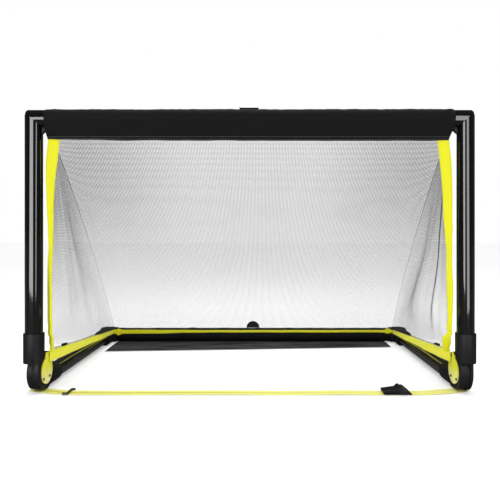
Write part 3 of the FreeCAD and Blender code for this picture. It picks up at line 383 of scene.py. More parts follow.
@dataclass(frozen=True)
class Webbing:
    """Woven polyester webbing: ribs along its length, a weft across it, bound edges, painted fold shade."""

    name: str = "fluorescent_webbing"
    color: Color = (0.96, 0.94, 0.006)
    # deep: the weave's darker tone, and also the colour of the painted fold line
    deep: Color = (0.66, 0.64, 0.002)
    edge: Color = (0.80, 0.78, 0.004)
    # folded: dark olive painted on the outer half of the left edge webbing's low part, as the shade of its turned fold
    folded: Color = (0.19, 0.2, 0.0)
    # sunk: how strongly a darker line along the webbing is painted, as painted shade of a fold
    sunk: float = 0.0
    rib: float = 0.0016
    weft: float = 0.0011
    width: float = 0.032

    def build(self) -> bpy.types.Material:
        """Makes the material."""
        shader = Shader(self.name)
        cloth = shader.along()
        across, along = shader.axis(cloth, "X"), shader.axis(cloth, "Y")
        ribs = (across * (2 * math.pi / self.rib)).sine()
        weft = (along * (2 * math.pi / self.weft)).sine()
        weave = ribs * weft * 0.25 + ribs * 0.15 + 0.5
        place = shader.place()
        cloud = shader.noise(place, 30.0, 4.0)
        fuzz = shader.noise(place, 900.0, 2.0)
        border = (across / self.width - 0.5).absolute().above(0.44, 0.03)
        body = shader.mix(self.color, self.deep, (1 - weave) * 0.3 + cloud * 0.12)
        # painted shade: turned marks the outer half of the left edge webbing between about 0.12 and 0.34 m high, which
        # darkens toward the fold colour
        right, rear, height = (shader.axis(place, name) for name in "XYZ")
        low = (1 - height.above(0.335, 0.06)) * height.above(0.118, 0.012)
        outer = (across / self.width).above(0.5, 0.08)
        turned = low * (1 - right.above(-0.5, 0.01)) * (1 - rear.above(-0.3, 0.01)) * (1 - outer)
        # painted shade: a darker line a little off the strap's middle, fading out toward its right end, stands for the
        # shade of a fold
        if self.sunk:
            line = 1 - (across / self.width - 0.4).absolute().above(0.14, 0.07)
            body = shader.mix(body, self.deep, line * (1 - right.above(0.15, 0.35)) * self.sunk)
        shader.set(
            Base_Color=shader.mix(shader.mix(body, self.edge, border * 0.6), self.folded, turned * 0.75),
            Roughness=fuzz * 0.12 + 0.62,
            Sheen_Weight=0.25,
            Sheen_Roughness=0.4,
            Specular_IOR_Level=0.3,
            Normal=shader.bump(weave + fuzz * 0.2, 0.00022, 0.6),
        )
        return shader.material


@dataclass(frozen=True)
class OxfordCloth:
    """Plain black coated cloth: fine square weave, soft creases, and on request painted highlight streaks."""

    name: str = "black_oxford_cloth"
    color: Color = (0.0035, 0.0035, 0.0042)
    # raised: lighter tone of raised threads; on the flap a much lighter painted sheen
    raised: Color = (0.0105, 0.0103, 0.012)
    streaks: float = 0.0
    thread: float = 0.00085

    def build(self) -> bpy.types.Material:
        """Makes the material."""
        shader = Shader(self.name)
        cloth = shader.along()
        across, along = shader.axis(cloth, "X"), shader.axis(cloth, "Y")
        pitch = 2 * math.pi / self.thread
        warp, weft = (across * pitch).sine(), (along * pitch).sine()
        weave = warp * weft * 0.5 + 0.5
        place = shader.place()
        crease = shader.noise(shader.stretch(place, (1.0, 1.6, 1.6)), 26.0, 5.0, 0.6)
        slub = shader.noise(place, 260.0, 3.0, 0.6)
        height = weave * 0.3 + slub * 0.25
        soft = shader.bump(crease, 0.0022, 0.55)
        fine = shader.add(
            "ShaderNodeBump", {}, {"Height": height, "Distance": 0.00016, "Strength": 0.7, "Normal": soft}
        )
        color = shader.mix(self.color, self.raised, weave * 0.35 + slub * 0.3 + crease * 0.2)
        # painted highlight: only long streaks along X keep the lighter colour, and the rest falls back to the dark
        # colour
        if self.streaks:
            streak_highlight = shader.noise(shader.stretch(place, (0.22, 1.3, 1.0)), 22.0, 4.0, 0.55).above(0.5, 0.11)
            color = shader.mix(self.color, color, streak_highlight * self.streaks + (1 - self.streaks))
        shader.set(
            Base_Color=color,
            Roughness=slub * 0.14 + 0.66,
            Sheen_Weight=0.02,
            Sheen_Roughness=0.35,
            Specular_IOR_Level=0.14,
            Normal=fine,
        )
        return shader.material


@dataclass(frozen=True)
class NetYarn:
    """Twisted black polyester yarn of the mesh."""

    name: str = "black_mesh_yarn"
    color: Color = (0.016, 0.0165, 0.019)
    pale: Color = (0.045, 0.047, 0.054)

    def build(self) -> bpy.types.Material:
        """Makes the material."""
        shader = Shader(self.name)
        place = shader.place()
        cloud = shader.noise(place, 14.0, 3.0)
        ply = shader.noise(place, 700.0, 1.0)
        shader.set(
            Base_Color=shader.mix(self.color, self.pale, cloud * 0.5 + ply * 0.3),
            Roughness=ply * 0.1 + 0.55,
            Sheen_Weight=0.1,
            Sheen_Roughness=0.4,
            Specular_IOR_Level=0.3,
        )
        return shader.material


@dataclass(frozen=True)
class Thread:
    """Sewing thread."""

    name: str
    color: Color

    def build(self) -> bpy.types.Material:
        """Makes the material."""
        shader = Shader(self.name)
        ply = shader.noise(shader.place(), 1500.0, 1.0)
        darker = tuple(part * 0.6 for part in self.color)
        shader.set(Base_Color=shader.mix(self.color, darker, ply), Roughness=0.6, Sheen_Weight=0.3)
        return shader.material


class Finishes:
    """Every finish of the goal, made once."""

    def __init__(self) -> None:
        """Builds the materials."""
        dark, dark_worn = (0.0085, 0.0082, 0.0112), (0.022, 0.0215, 0.026)
        self.paint = PowderCoat().build()
        self.zinc = Zinc("zinc_centre_tube").build()
        self.pin = Zinc("zinc_pin", (0.4, 0.4, 0.41), 0.35).build()
        self.screw = Zinc("blackened_screw", (0.06, 0.06, 0.062), 0.4).build()
        self.hinge = Moulding("hinge_nylon", dark, dark_worn, 0.5).build()
        self.guide = Moulding("guide_nylon", (0.008, 0.008, 0.0085), (0.02, 0.02, 0.021), 0.55).build()
        # the cover's last colour is its paler foot: painted light on the lower part of each cover
        self.cover = Moulding(
            "fluorescent_cover", (0.8, 0.78, 0.02), (0.88, 0.86, 0.1), 0.38, 0.00003, 0.0008, 0.5, (0.95, 0.94, 0.38)
        ).build()
        self.buckle = Moulding("buckle_nylon", (0.0085, 0.0082, 0.0105), (0.024, 0.023, 0.028), 0.4).build()
        self.hook = PowderCoat("coated_wire", (0.006, 0.006, 0.007), (0.02, 0.02, 0.022), 0.3).build()
        self.webbing = Webbing().build()
        # the strap's fold line at 0.9 is painted shade
        self.strap = Webbing(
            "floor_strap_webbing", (0.98, 0.97, 0.26), (0.55, 0.52, 0.0), (0.92, 0.9, 0.14), sunk=0.9, width=0.038
        ).build()
        self.cloth = OxfordCloth().build()
        # the flap's much lighter colours and its streaks are painted sheen and highlights of the lit flap
        self.flap = OxfordCloth("coated_flap_cloth", (0.010, 0.0110, 0.0125), (0.115, 0.125, 0.140), 0.8).build()
        self.yarn = NetYarn().build()
        self.yellow_thread = Thread("yellow_thread", (0.8, 0.79, 0.05)).build()
        self.grey_thread = Thread("grey_thread", (0.16, 0.16, 0.17)).build()


class NodeTree:
    """A Geometry Nodes tree with named inputs for its sizes."""

    def __init__(self, name: str) -> None:
        """Starts a tree with a geometry input and output."""
        self.group = bpy.data.node_groups.new(name, "GeometryNodeTree")
        for way in ("INPUT", "OUTPUT"):
            self.group.interface.new_socket("Geometry", in_out=way, socket_type="NodeSocketGeometry")
        self.start = self.group.nodes.new("NodeGroupInput")
        self.end = self.group.nodes.new("NodeGroupOutput")
        self.identifiers: dict[str, str] = {}

    def size(self, name: str, value: float, kind: str = "NodeSocketFloat") -> bpy.types.NodeSocket:
        """Adds a named input and returns the socket that carries it."""
        socket = self.group.interface.new_socket(name, in_out="INPUT", socket_type=kind)
        socket.default_value = value
        self.identifiers[name] = socket.identifier
        return self.start.outputs[name]

    def add(self, kind: str, settings: dict, inputs: dict) -> bpy.types.Node:
        """Adds a node with its settings and its sockets' values or links."""
        node = self.group.nodes.new(kind)
        for key, value in settings.items():
            setattr(node, key, value)
        for key, value in inputs.items():
            if isinstance(value, bpy.types.NodeSocket):
                self.group.links.new(value, node.inputs[key])
            else:
                node.inputs[key].default_value = value
        return node

    def close(self, geometry: bpy.types.NodeSocket, material: bpy.types.Material) -> "NodeTree":
        """Ends the tree in Realize Instances and Set Material."""
        real = self.add("GeometryNodeRealizeInstances", {}, {0: geometry})
        dressed = self.add("GeometryNodeSetMaterial", {}, {"Geometry": real.outputs[0], "Material": material})
        self.group.links.new(dressed.outputs[0], self.end.inputs[0])
        return self


def yarn_tree(name: str, material: bpy.types.Material) -> NodeTree:
    """A tree that gives lines a thin round section, fuller near the top and the sides, which darkens the mesh there as
    painted shade.

    Args:
        name: the tree's name.
        material: what the yarn is made of.

    Returns:
        The tree, with the inputs Radius and Sides.
    """
    tree = NodeTree(name)
    radius, sides = tree.size("Radius", 0.0003), tree.size("Sides", 3, "NodeSocketInt")
    place = tree.add("ShaderNodeSeparateXYZ", {}, {0: tree.add("GeometryNodeInputPosition", {}, {}).outputs[0]})
    apart = tree.add("ShaderNodeMath", {"operation": "ABSOLUTE"}, {0: place.outputs["X"]})
    height = place.outputs["Z"]
    # painted shade: the yarn is thickened toward the sides and the top so that the mesh reads darker there
    ranges = ((apart.outputs[0], 0.14, 0.5, 0.0, 0.85), (height, 0.3, 0.66, 0.1, 1.0), (height, 0.16, 0.62, 0.65, 0.98))
    beside, share, above = (
        tree.add("ShaderNodeMapRange", {"interpolation_type": "SMOOTHSTEP"}, dict(enumerate(values))).outputs[0]
        for values in ranges
    )
    full = tree.add("ShaderNodeMath", {"operation": "MULTIPLY_ADD"}, {0: beside, 1: share, 2: above}).outputs[0]
    line = tree.add("GeometryNodeMeshToCurve", {}, {"Mesh": tree.start.outputs[0]})
    section = tree.add("GeometryNodeCurvePrimitiveCircle", {}, {"Resolution": sides, "Radius": radius})
    tube = tree.add(
        "GeometryNodeCurveToMesh", {},
        {"Curve": line.outputs[0], "Profile Curve": section.outputs[0], "Scale": full, "Fill Caps": True},
    )
    smooth = tree.add("GeometryNodeSetShadeSmooth", {}, {"Geometry": tube.outputs[0], "Shade Smooth": True})
    return tree.close(smooth.outputs[0], material)


def stitch_tree(name: str, material: bpy.types.Material) -> NodeTree:
    """A tree that sews stitches along lines.

    Args:
        name: the tree's name.
        material: the thread.

    Returns:
        The tree, with the inputs Pitch, Length and Radius.
    """
    tree = NodeTree(name)
    pitch, length = tree.size("Pitch", 0.005), tree.size("Length", 0.0035)
    radius = tree.size("Radius", 0.0004)
    line = tree.add("GeometryNodeMeshToCurve", {}, {"Mesh": tree.start.outputs[0]})
    points = tree.add(
        "GeometryNodeResampleCurve", {"mode": "LENGTH"}, {"Curve": line.outputs[0], "Length": pitch}
    )
    tangent = tree.add("GeometryNodeInputTangent", {}, {})
    turn = tree.add(
        "FunctionNodeAlignRotationToVector", {"axis": "Z"}, {"Vector": tangent.outputs[0]}
    )
    stitch = tree.add(
        "GeometryNodeMeshCylinder", {}, {"Vertices": 6, "Radius": radius, "Depth": length}
    )
    sewn = tree.add(
        "GeometryNodeInstanceOnPoints", {},
        {"Points": points.outputs[0], "Instance": stitch.outputs[0], "Rotation": turn.outputs[0]},
    )
    return tree.close(sewn.outputs[0], material)


def add_object(name: str, mesh: bpy.types.Mesh) -> bpy.types.Object:
    """Links a mesh into the scene as an object at the origin."""
    thing = bpy.data.objects.new(name, mesh)
    bpy.context.scene.collection.objects.link(thing)
    return thing


def settle(thing: bpy.types.Object) -> bpy.types.Object:
    """Turns an object's modifiers into its plain mesh."""
    graph = bpy.context.evaluated_depsgraph_get()
    mesh = bpy.data.meshes.new_from_object(thing.evaluated_get(graph))
    thing.modifiers.clear()
    thing.data = mesh
    return thing


def smooth(thing: bpy.types.Object, degrees: float = 35.0) -> bpy.types.Object:
    """Shades a mesh smooth with sharp edges past an angle."""
    thing.data.shade_smooth()
    thing.data.set_sharp_from_angle(angle=math.radians(degrees))
    return thing


def grow(
    name: str, lines: Sequence[Sequence[Vector]], tree: NodeTree, sizes: dict[str, float]
) -> bpy.types.Object:
    """Runs a Geometry Nodes tree over polylines and keeps the result as a plain mesh.

    Args:
        name: the new object's name.
        lines: the polylines that the tree follows.
        tree: the tree.
        sizes: its inputs by name.

    Returns:
        The finished object.
    """
    vertices: list[Vector] = []
    edges: list[tuple[int, int]] = []
    for line in lines:
        first = len(vertices)
        vertices.extend(line)
        edges.extend((first + i, first + i + 1) for i in range(len(line) - 1))
    mesh = bpy.data.meshes.new(name)
    mesh.from_pydata([tuple(v) for v in vertices], edges, [])
    thing = add_object(name, mesh)
    modifier = thing.modifiers.new("grow", "NODES")
    modifier.node_group = tree.group
    for key, value in sizes.items():
        modifier[tree.identifiers[key]] = value
    return settle(thing)


@dataclass
class Loft:
    """A skin over rings of points, with cloth coordinates in metres.

    Attributes:
        rings: rings of points, all with the same count.
        around: each ring point's place round the section, in metres.
        along: each ring's place along the piece, in metres.
        girth: the section's whole length, which closes the ring; None leaves it open.
        capped: whether both ends are closed.
    """

    rings: list[list[Vector]]
    around: list[float]
    along: list[float]
    girth: Optional[float] = None
    capped: bool = True

    def build(self, name: str, material: bpy.types.Material) -> bpy.types.Object:
        """Makes the object."""
        count = len(self.rings[0])
        mesh = bmesh.new()
        cloth = mesh.loops.layers.uv.new("UVMap")
        rows = [[mesh.verts.new(point) for point in ring] for ring in self.rings]
        steps = count if self.girth is not None else count - 1
        for j in range(len(rows) - 1):
            for i in range(steps):
                k = (i + 1) % count
                face = mesh.faces.new((rows[j][i], rows[j][k], rows[j + 1][k], rows[j + 1][i]))
                far = self.around[k] if k else self.girth
                corners = (
                    (self.around[i], self.along[j]), (far, self.along[j]),
                    (far, self.along[j + 1]), (self.around[i], self.along[j + 1]),
                )
                for loop, corner in zip(face.loops, corners):
                    loop[cloth].uv = corner
                face.smooth = True
        if self.capped and self.girth is not None:
            for row, turned in ((rows[0], True), (rows[-1], False)):
                mesh.faces.new(list(reversed(row)) if turned else row)
        bmesh.ops.recalc_face_normals(mesh, faces=mesh.faces)
        data = bpy.data.meshes.new(name)
        mesh.to_mesh(data)
        mesh.free()
        data.materials.append(material)
        return add_object(name, data)


@dataclass
class Strip:
    """A band of webbing through stations, with softly rounded edges.

    Attributes:
        edges: the two edge points at each station.
        faces_to: the side that the band's face looks to at each station.
        thick: its thickness.
        wide: its real width, for the weave.
        columns: points across it.
    """

    edges: list[tuple[Vector, Vector]]
    faces_to: list[Vector]
    thick: float = SIZES.webbing
    wide: float = 0.032
    columns: int = 7

    def build(self, name: str, material: bpy.types.Material) -> bpy.types.Object:
        """Makes the object."""
        rings, along = [], []
        travelled = 0.0
        last: Optional[Vector] = None
        shares = [i / (self.columns - 1) for i in range(self.columns)]
        for (left, right), face in zip(self.edges, self.faces_to):
            middle = (left + right) / 2
            if last is not None:
                travelled += (middle - last).length
            last = middle
            along.append(travelled)
            across = right - left
            normal = (face - across * (face.dot(across) / max(across.length_squared, 1e-12))).normalized()
            front, back = [], []
            for share in shares:
                full = 1 - abs(2 * share - 1) ** 6 * 0.75
                spot = left + across * share
                front.append(spot + normal * (self.thick / 2 * full))
                back.append(spot - normal * (self.thick / 2 * full))
            rings.append(front + back[::-1])
        around = [share * self.wide for share in shares]
        loft = Loft(rings, around + around[::-1], along, girth=0.0)
        thing = loft.build(name, material)
        return smooth(thing, 50.0)


def softened(
    name: str, node: str, width: float, material: bpy.types.Material, segments: int = 2, degrees: float = 32.0
) -> bpy.types.Object:
    """A copy of a CAD node with its hard edges rounded, which stands for that node.

    Args:
        name: the new object's name.
        node: the CAD node.
        width: the rounding's width, or 0 where the edges stay as they are.
        material: its finish.
        segments: faces across each rounding.
        degrees: edges sharper than this are rounded.

    Returns:
        The finished object.
    """
    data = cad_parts[node].data.copy()
    mesh = bmesh.new()
    mesh.from_mesh(data)
    bmesh.ops.remove_doubles(mesh, verts=mesh.verts, dist=2e-6)
    bmesh.ops.dissolve_limit(
        mesh, angle_limit=math.radians(0.4), use_dissolve_boundaries=False, verts=mesh.verts, edges=mesh.edges
    )
    mesh.to_mesh(data)
    mesh.free()
    data.name = name
    data.materials.clear()
    data.materials.append(material)
    thing = add_object(name, data)
    if width:
        modifier = thing.modifiers.new("round", "BEVEL")
        modifier.width = width
        modifier.segments = segments
        modifier.limit_method = "ANGLE"
        modifier.angle_limit = math.radians(degrees)
        modifier.use_clamp_overlap = True
        modifier.miter_outer = "MITER_ARC"
    settle(thing)
    return smooth(thing, 40.0)


def wander(point: Vector, scale: float, seed: float) -> float:
    """Smooth noise around 0 at a point, at that many cycles per metre."""
    return noise.noise(Vector(point) * scale + Vector((seed, seed * 0.37, seed * 0.73)))


def lerp(first: float, last: float, share: float) -> float:
    """A number between two numbers."""
    return first + (last - first) * share


def ease(share: float) -> float:
    """A share that starts and ends softly."""
    share = min(max(share, 0.0), 1.0)
    return share * share * (3 - 2 * share)


class Sleeves:
    """The black cloth on both bars: sleeves, seams, floor flap and half-round tabs."""

    def __init__(self, finishes: Finishes) -> None:
        """Keeps the finishes."""
        self.finishes = finishes
        self.crossbar_half = SIZES.half_width - SIZES.tube - 0.0123
        self.rear_half = 0.5427
        self.stations = 170

    def crossbar_section(self) -> list[Vector]:
        """Half-open outline of the crossbar's sleeve round the bar's centre, as (0, y, z) from the rear seam up."""
        radius, drop, hem = SIZES.shell - 0.0012, SIZES.seam_drop, 0.002
        reach = math.hypot(hem, drop)
        touch = -math.pi / 2 + math.acos(radius / reach) + math.atan2(hem, drop)
        sweep = math.pi - 2 * touch
        edge = Vector((0.0, math.cos(touch), math.sin(touch))) * radius
        foot = Vector((0.0, hem, -drop))
        side = [foot.lerp(edge, i / 8) for i in range(8)]
        arc = [
            Vector((0.0, math.cos(touch + sweep * i / 30), math.sin(touch + sweep * i / 30))) * radius
            for i in range(31)
        ]
        mirrored = [Vector((0.0, -p.y, p.z)) for p in reversed(side)]
        return side + arc + mirrored

    def crossbar_point(self, outline: Vector, share: float) -> Vector:
        """A point of the crossbar's sleeve, with its slanted ends and its creases."""
        run, begin = (0.0025, 0.0285) if share < 0 else (0.0115, 0.0215)
        cut = max(0.0, -outline.z - begin) / (SIZES.seam_drop - begin) * run
        x = (self.crossbar_half - cut) * share
        low = ease((-outline.z - 0.012) / 0.03)
        hem = ease((-outline.z - 0.049) / 0.006)
        near_end = ease((abs(share) - 0.9) / 0.1)
        spot = Vector((x * 0.55, outline.y, outline.z))
        crease = wander(Vector((x * 0.5 - outline.z * 0.9, 0.0, outline.z)), 22.0, 3.1) * 0.0016
        fold = wander(Vector((x, 0.0, outline.z * 0.4)), 60.0, 8.6) * 0.0010
        twist = wander(Vector((x * 1.4 - outline.z * 2.2, 0.0, 0.0)), 42.0, 5.4) * 0.0019 * near_end
        swell = (crease * (0.4 + 0.8 * low) + fold + twist) * (1 - 0.75 * hem)
        swell += wander(spot, 9.0, 1.7) * 0.0008
        outward = Vector((0.0, outline.y, outline.z * (1 - low))).normalized()
        moved = Vector((x, SIZES.post_y, SIZES.bar_z)) + outline + outward * swell
        lift = 0.0024 * math.exp(-(((x + 0.53) / 0.12) ** 2)) - 0.0014 * math.exp(-(((x - 0.2) / 0.16) ** 2))
        moved.z += hem * (wander(Vector((x, 0.0, 0.0)), 16.0, 2.2) * 0.0009 + lift)
        moved.z = max(moved.z, SIZES.seam_z - 0.0016)
        return moved

    def crossbar(self) -> bpy.types.Object:
        """The crossbar's sleeve, a single skin sewn together below the bar."""
        outline = self.crossbar_section()
        shares = [-math.cos(math.pi * i / self.stations) for i in range(self.stations + 1)]
        shares = [lerp(s, -1 + 2 * i / self.stations, 0.75) for i, s in enumerate(shares)]
        rings = [[self.crossbar_point(point, share) for point in outline] for share in shares]
        around = self.lengths(outline)
        girth = around[-1] + (outline[-1] - outline[0]).length
        along = [share * self.crossbar_half for share in shares]
        skin = Loft(rings, around, along, girth=girth, capped=False)
        return self.thicken(skin.build("crossbar_sleeve_cloth", self.finishes.cloth), SIZES.cloth)

    @staticmethod
    def lengths(outline: Sequence[Vector]) -> list[float]:
        """Distance along an outline at each of its points."""
        total, result = 0.0, [0.0]
        for first, last in zip(outline, outline[1:]):
            total += (last - first).length
            result.append(total)
        return result

    @staticmethod
    def thicken(thing: bpy.types.Object, thick: float, offset: float = -1.0) -> bpy.types.Object:
        """Gives a skin its thickness, on the inside at -1 and to both sides at 0."""
        modifier = thing.modifiers.new("cloth", "SOLIDIFY")
        modifier.thickness = thick
        modifier.offset = offset
        settle(thing)
        return smooth(thing, 60.0)

    def rear(self) -> bpy.types.Object:
        """The rear bar's sleeve, flattened a little where it lies on the floor."""
        steps = 40
        radius = SIZES.shell - SIZES.skin_gap
        angles = [2 * math.pi * i / steps - math.pi / 2 for i in range(steps)]
        around = [radius * 2 * math.pi * i / steps for i in range(steps)]
        shares = [-1 + 2 * i / self.stations for i in range(self.stations + 1)]
        rings = []
        for share in shares:
            x = share * self.rear_half
            ring = []
            for angle in angles:
                y, z = math.cos(angle), math.sin(angle)
                crease = wander(Vector((x * 0.6 + angle * 0.012, y * 0.02, z * 0.02)), 30.0, 6.3) * 0.0013
                gather = math.sin(x * 95 + 2.5 * wander(Vector((x, 0, 0)), 7.0, 1.1)) * 0.0004
                size = radius + crease + gather
                ring.append(Vector((x, SIZES.rear_y + y * size, max(SIZES.arm_z + z * size, 0.0002))))
            rings.append(ring)
        along = [share * self.rear_half for share in shares]
        skin = Loft(rings, around, along, girth=radius * 2 * math.pi, capped=False)
        return self.thicken(skin.build("rear_sleeve_cloth", self.finishes.cloth), SIZES.cloth)

    def flap(self) -> bpy.types.Object:
        """The flap on the floor in front of the rear bar, with a bound front edge."""
        west, east, back = -0.535, 0.52, SIZES.rear_y - 0.001
        fronts, thick = (0.1565, 0.1925, 0.2315), 0.0011
        rows, columns = 16, 120
        rings = []
        for i in range(columns + 1):
            x = lerp(west, east, i / columns)
            share = x / ((east - west) / 2)
            front = fronts[1] + (fronts[2] - fronts[0]) / 2 * share + (
                (fronts[0] + fronts[2]) / 2 - fronts[1]
            ) * share * share
            ring = []
            for j in range(rows + 1):
                depth = j / rows
                y = lerp(back, front, depth)
                swell = 0.5 + wander(Vector((x, y * 0.6, 0.0)), 11.0, 4.0)
                lift = 0.0012 + 0.0022 * swell * math.sin(math.pi * depth)
                lift += 0.0016 * ease((depth - 0.93) / 0.07)
                ring.append(Vector((x, y, lift)))
            rings.append(ring)
        around = [i * (fronts[2] - back) / rows for i in range(rows + 1)]
        along = [lerp(west, east, i / columns) for i in range(columns + 1)]
        thing = Loft(rings, around, along).build("rear_flap_cloth", self.finishes.flap)
        return self.thicken(thing, thick, offset=0.0)

    def half_round(self, name: str, place: Callable[[float, float], Vector], thick: float) -> bpy.types.Object:
        """A half-round tab over a place function of its own width and height shares.

        Args:
            name: the object's name.
            place: turns a place on the flat tab, in metres from its middle and its straight edge, to a point.
            thick: its thickness.

        Returns:
            The finished object.
        """
        radius, steps = SIZES.tab_radius, 12
        rings = []
        for j in range(steps + 1):
            height = radius * math.sin(math.pi / 2 * j / steps) * 0.998
            width = math.sqrt(max(radius * radius - height * height, 1e-8))
            rings.append([place(width * (-1 + i / steps), height) for i in range(2 * steps + 1)])
        around = [radius * i / steps for i in range(2 * steps + 1)]
        along = [radius * j / steps for j in range(steps + 1)]
        thing = Loft(rings, around, along).build(name, self.finishes.cloth)
        modifier = thing.modifiers.new("cloth", "SOLIDIFY")
        modifier.thickness = thick
        modifier.offset = 0.0
        rounding = thing.modifiers.new("round", "BEVEL")
        rounding.width = thick * 0.3
        rounding.segments = 2
        settle(thing)
        return smooth(thing, 50.0)

    def rear_tab_point(self, across: float, up: float) -> Vector:
        """The rear tab stands on top of its bar and leans a little."""
        top = SIZES.arm_z + SIZES.shell
        return Vector((across - 0.0012, SIZES.rear_y + up * 0.06, top + SIZES.skin_gap + up))

    def crossbar_tab_point(self, across: float, down: float) -> Vector:
        """The crossbar's tab lies over the top of its bar and down behind it."""
        radius = SIZES.shell + 0.0016
        angle = math.pi / 2 - (down - 0.004) / radius
        spot = Vector((0.0, math.cos(angle), math.sin(angle))) * radius
        return Vector((across - 0.002, SIZES.post_y, SIZES.bar_z)) + spot

    def seams(self) -> bpy.types.Object:
        """Two rows of stitches along the crossbar sleeve's hem, on both sides."""
        lines = []
        for height in (0.0025, 0.0085):
            z = -SIZES.seam_drop + height
            for way in (-1, 1):
                line = []
                for i in range(301):
                    share = -0.995 + 1.99 * i / 300
                    y = way * (0.002 + height * 0.45)
                    point = self.crossbar_point(Vector((0.0, y, z)), share)
                    point.y += way * 0.0002
                    line.append(point)
                lines.append(line)
        sizes = {"Pitch": 0.0052, "Length": 0.0034, "Radius": 0.00042}
        tree = stitch_tree("hem_stitches", self.finishes.grey_thread)
        return grow("crossbar_hem_stitches", lines, tree, sizes)

    def build(self) -> None:
        """Builds every piece of cloth on the bars and says what it rides on."""
        crossbar = [self.crossbar(), self.seams()]
        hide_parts("crossbar_sleeve")
        for thing in crossbar:
            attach(thing, "crossbar_slider")
            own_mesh(thing)
        tab = self.half_round("crossbar_tab_cloth", self.crossbar_tab_point, 0.0022)
        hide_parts("crossbar_tab")
        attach(tab, "crossbar_slider")
        rear = {"rear_sleeve": self.rear(), "rear_flap": self.flap()}
        for node, thing in rear.items():
            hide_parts(node)
            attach(thing, "rear_bar")
            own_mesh(thing)
        tab = self.half_round("rear_tab_cloth", self.rear_tab_point, 0.0026)
        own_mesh(tab)
        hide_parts("rear_tab")
        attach(tab, "rear_bar")
        log.info("sleeves, flap and tabs built")


